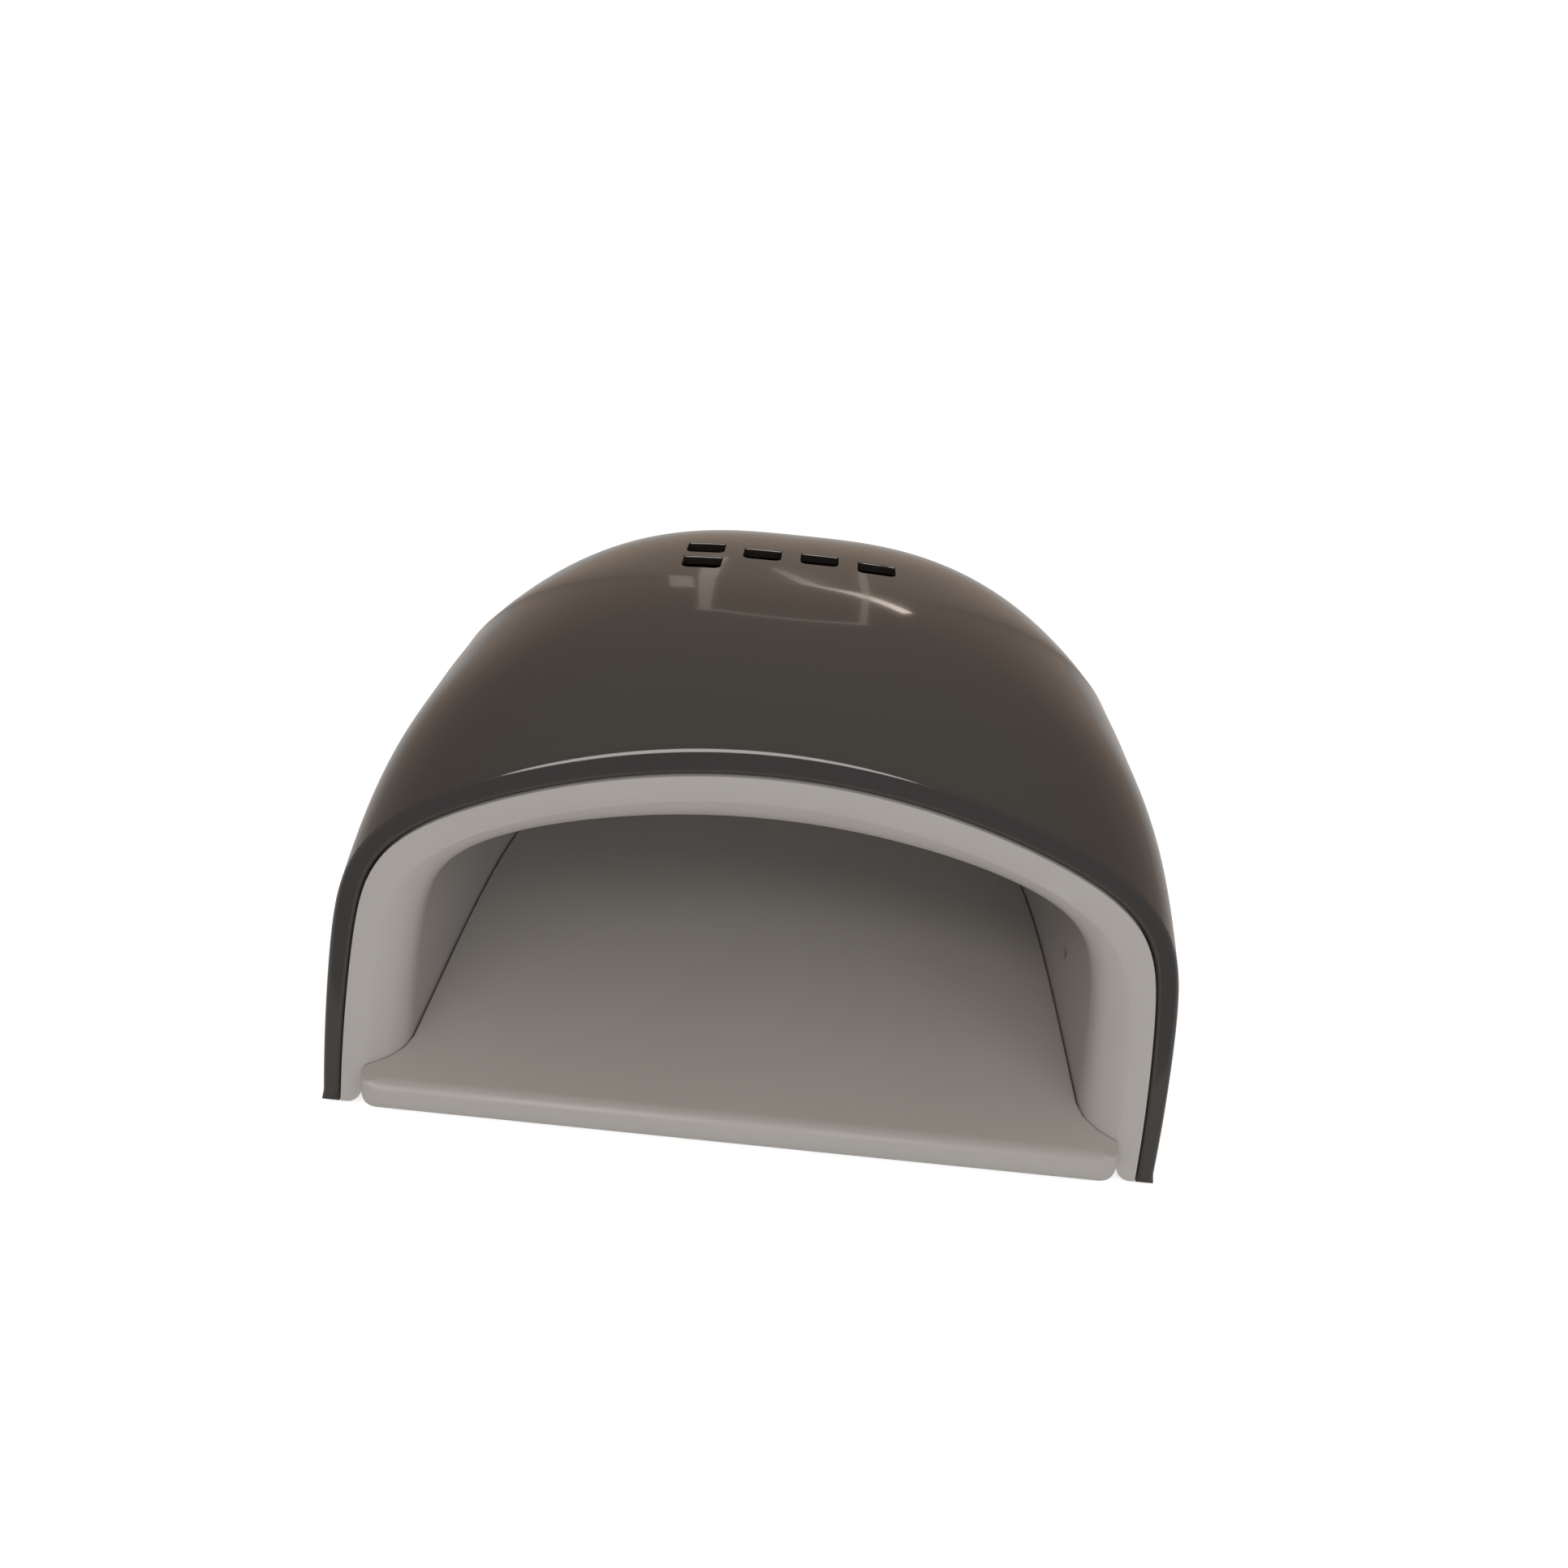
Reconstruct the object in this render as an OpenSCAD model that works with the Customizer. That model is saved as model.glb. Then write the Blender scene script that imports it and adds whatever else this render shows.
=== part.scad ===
// UV nail lamp: a glossy dome with a slanted hand opening, an inner light liner,
// a pull-out base tray and a rear control panel with four timer buttons.
// X runs across, Y from the hand opening to the back, Z up from the table.

/* [Dome] */
// Width of the dome at its widest place
body_w = 224; // [214:1:236]
// Depth from the front of the cheeks to the back
body_d = 200; // [196:1:212]
// Height of the crown above the underside
body_h = 109; // [104:1:116]
// Distance of the widest place from the front
widest_y = 90; // [80:1:98]
// Distance of the highest place from the front
apex_y = 109; // [102:1:114]
// Length over which the sides draw in towards the front
side_fade = 480; // [420:5:900]
// Length over which the crown drops towards the front
crown_fade = 135; // [128:1:160]
// Fullness of the crown's fall at the back
crown_back_p = 3; // [2.6:0.1:3.4]
// Lean of the front opening, degrees from upright
front_lean = 24.2; // [18:0.1:28]
// Squareness of the front arch
arch_front_p = 11; // [7:0.5:14]
// Squareness of the dome's arches at the back
arch_back_p = 3.1; // [2.7:0.1:3.6]
// Share of the half width that the front arch draws in at its shoulders
side_draw = 0.052; // [0.03:0.002:0.08]
// Share of its height that the front arch drops at its shoulders
crown_drop = 0.29; // [0.22:0.01:0.34]
// Wall of the dome
shell_wall = 2.5; // [2:0.1:3]
// Width of the front lip at the cheeks
lip_side = 4.7; // [4:0.1:6]
// Height of the front lip at the crown
lip_crown = 5.9; // [5:0.1:7]
// Depth of the front lip
lip_depth = 4; // [3:0.1:6]

/* [Light tunnel] */
// Room between the widest outline and the light tunnel
side_room = 21.7; // [21:0.1:28]
// Room between the crown and the light tunnel
crown_room = 34; // [33:0.1:41]
// Room between the light tunnel and the back
rear_room = 35; // [33:1:40]
// Share of its height that the light tunnel's arch drops at its shoulders
tunnel_drop = 0.2; // [0.17:0.01:0.25]
// Depth of the funnel behind the front rim
funnel_d = 15; // [12:0.5:18]
// Width of the liner's flat front rim
rim_w = 5.5; // [4:0.1:7]
// Wall of the liner
liner_wall = 2.2; // [1.8:0.1:2.6]
// Rounding of the rim's inner corner at each foot
rim_foot_r = 4; // [2:0.5:4.5]
// Gap between the liner's rim and the dome's lip
rim_gap = 0.25; // [0.15:0.05:0.4]

/* [Base] */
// Height that the feet stand out of the underside
foot_proud = 1; // [0.6:0.1:2]
// Radius of a foot
foot_r = 5.5; // [4.5:0.1:6]
// Thickness of the base frame
frame_t = 2.5; // [2.2:0.1:3]
// Gap between the base frame and the dome's wall
frame_gap = 0.3; // [0.2:0.05:0.5]
// Width of the ledge that carries the tray
ledge_w = 5; // [4:0.5:7]
// Radius of a case screw
case_screw_r = 1.5; // [1.3:0.1:1.7]
// Length of a case screw
case_screw_l = 16; // [12:1:18]

/* [Tray] */
// Height of the tray's floor above the underside
tray_h = 10; // [9:0.1:11]
// Thickness of the tray's floor
tray_floor = 3.2; // [3:0.1:4]
// Thickness of the tray's rim and ribs
tray_rib = 2.4; // [2:0.1:3]
// Radius of the tray's rounded front edge
tray_nose_r = 4.8; // [4.4:0.1:5]
// Distance that the tray's front edge stands out of the opening
tray_nose_out = 3.5; // [1:0.5:4.5]
// Side gap between the tray and the liner
tray_gap = 0.5; // [0.4:0.1:0.8]
// Gap between the tray and its ledge
tray_seat_gap = 0.3; // [0.2:0.05:0.4]
// Gap behind the tray
tray_back_gap = 3; // [2:1:10]
// Radius of a magnet
magnet_r = 4; // [3:0.1:4.5]
// Thickness of a magnet
magnet_t = 1.8; // [1.5:0.1:2]

/* [Vents] */
// Width of a vent slot
vent_w = 11.2; // [9:0.1:13]
// Depth of a vent slot
vent_d = 7.6; // [6:0.1:9]
// Distance between the middles of neighbouring slots
vent_pitch = 17.2; // [15:0.1:18]
// Distance of the row of slots behind the highest place
vent_behind = 18; // [16:1:19]
// Rounding of a slot's front corners
vent_r = 2; // [1:0.1:3]

/* [Control panel] */
// Distance of the panel's middle from the back
panel_from_back = 26; // [24:1:28]
// Depth of the panel's flat below the dome's chord
panel_sink = 1; // [0.8:0.1:1.8]
// Width of the panel
panel_w = 54; // [52:0.5:56]
// Height of the panel
panel_l = 30; // [29:0.5:32]
// Corner radius of the panel
panel_r = 11; // [9:0.5:13]
// Thickness of the panel
panel_t = 2.5; // [2:0.1:3]
// Width of the display window
window_w = 30; // [26:0.5:34]
// Height of the display window
window_l = 11; // [9:0.5:12]
// Radius of a timer button
button_r = 3.6; // [3:0.1:4]
// Distance between neighbouring buttons
button_pitch = 11.4; // [10:0.1:11.6]
// Height that a button stands out of the panel
button_proud = 1.2; // [1:0.1:2]
// Travel of a button
button_travel = 0.6; // [0.3:0.1:0.8]
// Gap round a button
button_gap = 0.3; // [0.2:0.05:0.4]

/* [Lamp boards] */
// Thickness of a circuit board
board_t = 1.6; // [1.2:0.1:2]
// Radius of a lamp lens
lens_r = 3.2; // [2.6:0.1:3.6]
// Gap between a lens and its hole
lens_gap = 0.2; // [0.1:0.05:0.3]
// Height that a lens stands into the tunnel
lens_proud = 0.8; // [0.4:0.1:1.2]
// Distance between neighbouring ceiling lamps
lamp_pitch = 19; // [17:0.5:20]

/* [Power inlet] */
// Height of the inlet above the underside
jack_z = 20; // [16:0.5:26]
// Radius of the inlet's thread
jack_r = 5.5; // [5:0.1:6]

/* [Hidden] */
$fn = 48;
eps = 0.01;
cols = 40;
front_rows = 10;
back_rows = 14;
row_power = 0.8;
bisections = 24;
lean_k = tan(front_lean);
tunnel_half = body_w / 2 - side_room;
tunnel_h = body_h - crown_room;
tunnel_d = body_d - rear_room;
tray_d = tunnel_d - tray_back_gap;
lip_drop = crown_drop - 0.016;
lip_p = arch_front_p + 1;
tunnel_p = arch_front_p - 1;
tunnel_taper = 0.018;
tunnel_rise = 0.05;
tunnel_back_p = 4;
tunnel_upright = 110;

// Points of an arch: share of the half width and of the height at an angle
function arch_pt(phi, p, draw, drop) =
    let(c = cos(phi), s = sin(phi), rho = pow(pow(c, p) + pow(s, p), 1 / p),
        u = c / rho, v = s / rho)
    [u * (1 - draw * v * v), v * (1 - drop * u * u)];

// One rib of a hood: an arch of half width a(y) and height hc on a plane that leans by k
function mix(a, b, t) = a + (b - a) * t;
function bow(u, p) = pow(max(0, 1 - pow(min(1, abs(u)), p)), 1 / p);

// Half width and crown height of the dome at depth y, inset by e
function dome_half(y, e) = (body_w / 2 - e) * (y < widest_y
    ? bow((widest_y - y) / side_fade, 2)
    : bow((y - widest_y) / (body_d - e - widest_y), 2));
function dome_crown(y, e) = (body_h - e) * (y < apex_y
    ? bow((apex_y - y) / crown_fade, 2)
    : bow((y - apex_y) / (body_d - e - apex_y), crown_back_p));
function crown_on(y0, k, e, lo = 0, hi = 2 * body_h, n = bisections) = n == 0 ? lo
    : let(mid = (lo + hi) / 2)
        dome_crown(y0 + k * mid, e) > mid
            ? crown_on(y0, k, e, mid, hi, n - 1)
            : crown_on(y0, k, e, lo, mid, n - 1);

function dome_rib(y0, e) =
    let(f = max(0, 1 - y0 / apex_y), k = lean_k * f, hc = crown_on(y0, k, e),
        p = mix(arch_back_p, arch_front_p, f * f))
    [for (j = [0:cols])
        let(phi = 180 * j / cols, left = phi > 90,
            q = arch_pt(left ? 180 - phi : phi, p, side_draw * f, crown_drop * f),
            h = hc * q[1], y = y0 + k * h)
        [(left ? -1 : 1) * dome_half(y, e) * q[0], y, h]];

// A rib of given half width and height on the leaning plane at depth d
function plain_rib(d, k, a, hc, p, drop) =
    [for (j = [0:cols])
        let(phi = 180 * j / cols, left = phi > 90,
            q = arch_pt(left ? 180 - phi : phi, p, side_draw, drop), h = hc * q[1])
        [(left ? -1 : 1) * a * q[0], d + k * h, h]];

lip_half = dome_half(0, 0) - lip_side;
lip_h = crown_on(0, lean_k, 0) - lip_crown;
function lip_rib(d, e) = plain_rib(d, lean_k, lip_half - e, lip_h - e, lip_p, lip_drop);

// Depths of the dome's ribs, from the lip to just before the back
function dome_depths(e) = concat(
    [for (i = [0:2]) i * (lip_depth + 0.4) / 2],
    [for (i = [1:front_rows]) mix(lip_depth + 0.4, apex_y, i / front_rows)],
    [for (i = [1:back_rows - 1])
        apex_y + (body_d - e - apex_y) * pow(sin(90 * i / back_rows), row_power)]);

// Light tunnel: half width and height at depth d, grown outwards by e
rim_half = lip_half - rim_gap;
rim_h = lip_h - rim_gap;
function funnel(d, n) = pow(max(0, 1 - d / funnel_d), n);
function tunnel_end(d, e) =
    bow(max(0, d - funnel_d) / (tunnel_d + e - funnel_d), tunnel_back_p);
function tunnel_half_at(d, e) =
    (tunnel_half + e - tunnel_taper * max(0, d - funnel_d)) * tunnel_end(d, e)
    + (rim_half - rim_w - tunnel_half) * funnel(d, 3);
function tunnel_h_at(d, e) =
    (tunnel_h + e + tunnel_rise * max(0, d - funnel_d)) * tunnel_end(d, e)
    + (rim_h - rim_w - tunnel_h) * funnel(d, 2);
function tunnel_fall(d) = mix(tunnel_drop, lip_drop, funnel(d, 2));
function tunnel_k(d) = lean_k * max(0, 1 - d / tunnel_upright);
function tunnel_rib(d, e) =
    plain_rib(d, tunnel_k(d), tunnel_half_at(d, e), tunnel_h_at(d, e), tunnel_p, tunnel_fall(d));
function rim_rib(d) = plain_rib(d, lean_k, rim_half, rim_h, lip_p, lip_drop);
funnel_rows = 6;
straight_rows = 6;
end_rows = 8;
straight_d = 100;
end_start = asin(pow((straight_d - funnel_d) / (tunnel_d - funnel_d), 2));
function tunnel_depths(e) = concat(
    [for (i = [0:funnel_rows]) funnel_d * i / funnel_rows],
    [for (i = [1:straight_rows]) mix(funnel_d, straight_d, i / straight_rows)],
    [for (i = [1:end_rows - 1])
        funnel_d + (tunnel_d + e - funnel_d)
            * pow(sin(mix(end_start, 90, i / end_rows)), 2 / tunnel_back_p)]);

// Depth in the tunnel's own measure of a place y at height h
function tunnel_depth_of(y, h) =
    let(d = (y - lean_k * h) / (1 - lean_k * h / tunnel_upright))
    d < tunnel_upright ? d : y;
// Height of the tunnel's ceiling over x, y
function ceiling_z(x, y) =
    let(d = tunnel_depth_of(y, tunnel_h), u = abs(x) / (tunnel_half_at(d, 0) * (1 - side_draw)))
    tunnel_h_at(d, 0) * (1 - tunnel_fall(d) * u * u) * bow(u, tunnel_p);
// Half width of the tunnel at y, h
function wall_x(y, h) =
    let(d = tunnel_depth_of(y, h), v = h / (tunnel_h_at(d, 0) * (1 - tunnel_fall(d))))
    tunnel_half_at(d, 0) * (1 - side_draw * v * v) * bow(v, tunnel_p);
// Depth of the tunnel's back wall at x, h
function back_y(x, h) =
    let(s = pow(pow(abs(x) / tunnel_half, tunnel_p) + pow(h / tunnel_h, tunnel_p), 1 / tunnel_p))
    funnel_d + (tunnel_d - funnel_d) * bow(s, tunnel_back_p);

// Everything is drawn from the dome's front and the underside, then centred over the origin
module placed() {
    translate([0, (tray_nose_out - body_d) / 2, foot_proud]) children();
}

// A hollow hood between outer and inner ribs, open below and in front, closed at the back
module hood(outer, inner, outer_tip, inner_tip) {
    rows = len(outer);
    n = cols + 1;
    tip_o = 2 * rows * n;
    tip_i = tip_o + 1;
    points = concat([for (r = outer) each r], [for (r = inner) each r], [outer_tip, inner_tip]);
    function o(i, j) = i == rows ? tip_o : i * n + j;
    function w(i, j) = i == rows ? tip_i : rows * n + i * n + j;
    skin = [for (i = [0:rows - 2], j = [0:cols - 1]) each [
        [o(i, j), o(i, j + 1), o(i + 1, j + 1)], [o(i, j), o(i + 1, j + 1), o(i + 1, j)],
        [w(i, j), w(i + 1, j + 1), w(i, j + 1)], [w(i, j), w(i + 1, j), w(i + 1, j + 1)]]];
    tips = [for (j = [0:cols - 1]) each [
        [o(rows - 1, j), o(rows - 1, j + 1), tip_o], [w(rows - 1, j), tip_i, w(rows - 1, j + 1)]]];
    front = [for (j = [0:cols - 1]) each [
        [o(0, j + 1), o(0, j), w(0, j)], [o(0, j + 1), w(0, j), w(0, j + 1)]]];
    foot = [for (i = [0:rows - 1]) each [
        [o(i, 0), o(i + 1, 0), w(i + 1, 0)], [o(i, 0), w(i + 1, 0), w(i, 0)],
        [o(i, cols), w(i + 1, cols), o(i + 1, cols)], [o(i, cols), w(i, cols), w(i + 1, cols)]]];
    polyhedron(points, concat(skin, tips, front, foot), convexity = 6);
}

// A rectangle with round corners, centred
module round_rect(w, l, r) {
    square([w - 2 * r, l], center = true);
    square([w, l - 2 * r], center = true);
    for (x = [-1, 1], y = [-1, 1]) translate([x * (w / 2 - r), y * (l / 2 - r)]) circle(r);
}

// Panel: local z out of the flat, local y down the slope
pad_border = 2.5;
pad_w = panel_w + 2 * pad_border;
pad_l = panel_l + 2 * pad_border;
pad_r = panel_r + pad_border;
pad_t = 5;
panel_y = body_d - panel_from_back;
chord_y = 0.38 * pad_l;
chord_up = dome_crown(panel_y - chord_y, 0);
chord_down = dome_crown(panel_y + chord_y, 0);
panel_tilt = atan2(chord_up - chord_down, 2 * chord_y);
panel_z = (chord_up + chord_down) / 2;
module on_panel() {
    placed()
        translate([0, panel_y, panel_z])
            rotate([-panel_tilt, 0, 0])
                translate([0, 0, -panel_sink])
                    children();
}
// A panel point in the frame that placed() moves
function panel_pt(x, y, z) = [x,
    panel_y + y * cos(panel_tilt) + (z - panel_sink) * sin(panel_tilt),
    panel_z - y * sin(panel_tilt) + (z - panel_sink) * cos(panel_tilt)];
panel_gap = 0.2;
panel_ledge = 3;
window_y = -5.4;
window_r = 1.5;
window_gap = 0.15;
window_t = 1.5;
module_in = 1;
buttons_y = 6.9;
button_xs = [for (i = [0:3]) (1.5 - i) * button_pitch];
board_top = -9.5;
board_w = 62;
board_l = 36;
post_r = 2.3;
post_xs = [-1, 1] * (panel_w / 2 - 0.25);
post_ys = [-5, 5];
pilot_r = 1;
pilot_d = 4;
thread_gap = 0.03;

// Plan of one side of the dome's inside near the underside, from the front at y0 to the back
function plan_side(e, y0) = concat([[dome_half(y0, e), y0]],
    [for (y = dome_depths(e)) if (y > y0) [dome_half(y, e), y]]);
function mirrored(pts) = [for (i = [len(pts) - 1:-1:0]) [-pts[i][0], pts[i][1]]];
frame_y0 = 6.2;
frame_e = shell_wall + frame_gap;
frame_z = 0.2;
frame_top = frame_z + frame_t;
tray_z0 = frame_top + tray_seat_gap;

// Tray outline: the tunnel's half width at depth d less the side gap, closing in a little earlier
nose_end = tunnel_half_at(0, 0) - tray_gap;
nose_x = nose_end - tray_nose_r;
nose_y = tray_nose_r - tray_nose_out;
tray_reach = tunnel_d - tray_back_gap / 2;
function tray_half_at(d) =
    (tunnel_half - tray_gap - tunnel_taper * max(0, d - funnel_d))
    * bow(max(0, d - funnel_d) / (tray_reach - funnel_d), tunnel_back_p)
    + (rim_half - rim_w - tunnel_half) * funnel(d, 3);
function tray_half(y, h) = tray_half_at(max(0, tunnel_depth_of(y, h)));
tray_steps = 8;
tray_bend = funnel_d + 5;
module tray_plan(h, e, y0, y1) {
    ys = concat([for (i = [0:tray_steps - 1]) mix(y0, tray_bend, i / tray_steps)],
        [for (i = [0:3 * tray_steps]) mix(tray_bend, y1, sin(90 * i / (3 * tray_steps)))]);
    side = [for (y = ys) [tray_half(y, h) - e, y]];
    polygon(concat(side, mirrored(side)));
}
// The space between the funnel's leaning sides, less the side gap
module funnel_space() {
    side = concat([for (i = [0:tray_steps]) let(d = funnel_d * i / tray_steps)
        [tray_half_at(d), d * cos(front_lean)]], [[tray_half_at(funnel_d), body_d]]);
    points = concat([[nose_end + 1, -tray_nose_r * 3]], [[nose_end, 0]], side);
    rotate([-front_lean, 0, 0]) translate([0, 0, -body_h / 2]) linear_extrude(body_h / 2 + body_d)
        polygon(concat(points, mirrored(points)));
}

// Places round the dome, e inside its outline: on a side near the front, or at an angle
front_boss_y = 40;
front_foot_y = 20;
function at_side(s, y, e) = [s * dome_half(y, e), y];
function at_angle(a, e) =
    [(body_w / 2 - e) * cos(a), widest_y + (body_d - e - widest_y) * sin(a)];

// Case screws, their bosses and the ribs that tie these to the wall
boss_r = 4.2;
boss_e = 8;
boss_h = 19;
boss_rib = 2.4;
boss_angles = [15, 65, 115, 165];
function boss_places(e) = concat(
    [for (s = [-1, 1]) at_side(s, front_boss_y, e)], [for (a = boss_angles) at_angle(a, e)]);
boss_at = boss_places(boss_e);
boss_wall = boss_places(shell_wall / 2);
screw_head_r = 2.8;
screw_head_t = 1.5;
head_play = 0.3;
foot_in = 1.1;
foot_play = 0.05;
foot_at = concat([for (s = [-1, 1]) at_side(s, front_foot_y, 14)], [for (a = [52, 128]) at_angle(a, 12)]);
magnet_x = 36;
magnet_in = 7;
magnet_at = [for (x = [-1, 1]) [x * magnet_x, tray_d - magnet_in]];

// Vent slots: a row of four, and one more in front of the left one
vent_y = apex_y + vent_behind;
vent_x0 = -28;
vent_steps = [3, 0.5, 0.5, -1.5];
extra_vent = -8.5;
vent_at = concat([[vent_x0, vent_y + extra_vent]],
    [for (i = [0:3]) [vent_x0 + i * vent_pitch, vent_y + vent_steps[i]]]);
vent_low = 20;

module vent_cut() {
    translate([0, 0, body_h - vent_low]) linear_extrude(1.5 * vent_low) {
        translate([-vent_w / 2, -vent_d / 2 + vent_r]) square([vent_w, vent_d - vent_r]);
        translate([-vent_w / 2 + vent_r, -vent_d / 2]) square([vent_w - 2 * vent_r, vent_d]);
        for (x = [-1, 1]) translate([x * (vent_w / 2 - vent_r), -vent_d / 2 + vent_r]) circle(vent_r);
    }
}

// Inlet: a flange let into the wall, a thread with a nut, and the body behind
jack_flange_t = 1.2;
jack_flange_r = jack_r + 1.5;
jack_play = 0.2;
jack_seat_y = body_d - jack_flange_t;
nut_t = 2.6;
nut_y = body_d - shell_wall - 0.6;
jack_thread = jack_seat_y - nut_y + nut_t + 1;
jack_len = jack_thread + 8;
jack_end = jack_seat_y - jack_len;
pin_r = 1.05;
socket_r = 2.85;
socket_d = 9;

module outer_shell() {
    depths = dome_depths(0);
    inner_depths = dome_depths(shell_wall);
    color("#463e39") difference() {
        union() {
            placed() hood(
                [for (y0 = depths) dome_rib(y0, 0)],
                [for (i = [0:len(inner_depths) - 1])
                    i < 2 ? lip_rib(i * lip_depth, 0) : dome_rib(inner_depths[i], shell_wall)],
                [0, body_d, 0], [0, body_d - shell_wall, 0]);
            on_panel() translate([0, 0, -pad_t]) linear_extrude(pad_t + 0.5)
                round_rect(pad_w, pad_l, pad_r);
            on_panel() for (x = post_xs, y = post_ys)
                translate([x, y, board_top]) cylinder(r = post_r, h = 0.5 - board_top - pad_t);
            placed() for (i = [0:len(boss_at) - 1]) {
                v = boss_wall[i] - boss_at[i];
                translate([boss_at[i][0], boss_at[i][1], frame_top]) {
                    cylinder(r = boss_r, h = boss_h);
                    rotate([0, 0, atan2(v[1], v[0])]) translate([0, -boss_rib / 2, 0.5])
                        cube([norm(v), boss_rib, boss_h - 1.5]);
                }
            }
        }
        on_panel() translate([-body_w / 4, -body_d / 5, 0]) cube([body_w / 2, 2 * body_d / 5, pad_l]);
        on_panel() translate([0, 0, -panel_t - panel_gap]) linear_extrude(panel_t + panel_gap + 1)
            round_rect(panel_w + 2 * panel_gap, panel_l + 2 * panel_gap, panel_r + panel_gap);
        on_panel() translate([0, 0, -pad_t - 1]) linear_extrude(pad_t)
            round_rect(panel_w - 2 * panel_ledge, panel_l - 2 * panel_ledge, panel_r - panel_ledge);
        on_panel() for (x = post_xs, y = post_ys)
            translate([x, y, board_top - 1]) cylinder(r = pilot_r, h = pilot_d + 1);
        placed() for (p = boss_at) translate([p[0], p[1], frame_top - 1])
            cylinder(r = case_screw_r, h = case_screw_l);
        placed() for (p = vent_at) translate([p[0], p[1], 0]) vent_cut();
        placed() translate([0, body_d - 3 * shell_wall, jack_z]) rotate([-90, 0, 0])
            cylinder(r = jack_r + jack_play, h = 4 * shell_wall);
        placed() translate([0, jack_seat_y, jack_z]) rotate([-90, 0, 0])
            cylinder(r = jack_flange_r + jack_play, h = shell_wall);
    }
}

// Lamp places. Ceiling: x, y. Sides: distance along the board and height. Rear: x and height
row_pitch = 24;
board_edge = 8;
hole_in = 3.5;
ceiling_y = 84;
ceiling_xs = [-2, -1, 0, 1, 2] * lamp_pitch;
ceiling_ys = [for (i = [-1:1]) ceiling_y + i * row_pitch];
ceiling_lift = 1.6;
ceiling_board_z = tunnel_h + tunnel_rise * straight_d + liner_wall + ceiling_lift;
ceiling_w = 4 * lamp_pitch + 2 * board_edge;
ceiling_l = 66;
ceiling_posts = [for (x = [-1, 1], y = [-1, 1])
    [x * (ceiling_w / 2 - hole_in), ceiling_y + y * row_pitch / 2]];

side_y = 90;
side_z = 34;
side_turn = 8;
side_l = 72;
side_tall = 22;
board_back = 2.4;
side_board_x = wall_x(side_y, side_z) + liner_wall + board_back;
side_pitch = 16;
side_lamp_a = 4;
side_lamps = [for (i = [-1.5:1.5]) side_lamp_a + i * side_pitch];
side_lamp_z = 2;
side_post_a = -4;
side_posts = [for (i = [-1.5, 1.5]) side_post_a + i * side_pitch];
side_post_b = side_tall / 2 - hole_in;

rear_z = 34;
rear_w = 84;
rear_tall = 20;
rear_board_y = tunnel_d + liner_wall + board_back;
rear_pitch = 28;
rear_lamps = [-1, 0, 1] * rear_pitch;
rear_posts = [-0.5, 0.5] * rear_pitch;

// Side board: local x along the board to the back, y up, z away from the tunnel
module on_side(s) {
    placed()
        translate([s * side_board_x, side_y, side_z])
            rotate([0, 0, s * side_turn])
                multmatrix([[0, 0, s, 0], [1, 0, 0, 0], [0, 1, 0, 0], [0, 0, 0, 1]])
                    children();
}
module on_rear() {
    placed() translate([0, rear_board_y, rear_z]) rotate([-90, 0, 0]) children();
}
// Length of a side lamp's lens, from the board to the tunnel's wall
function side_reach(a, b) =
    let(y = side_y + a * cos(side_turn), x = side_board_x - a * sin(side_turn))
    x - wall_x(y, side_z + b);

side_pilot = 3.4;
sensor_a = -34;
sensor_b = -7;
sensor_r = 1.5;

// Below the rounded inner corner of the rim's foot
module rim_foot() {
    far = rim_half - rim_w + rim_foot_r;
    translate([far, frame_y0, rim_foot_r]) rotate([90, 0, 0]) linear_extrude(2 * frame_y0)
        difference() {
            translate([-4 * rim_foot_r, -2 * rim_foot_r]) square([4 * rim_foot_r, 2 * rim_foot_r]);
            circle(rim_foot_r);
        }
}

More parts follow.
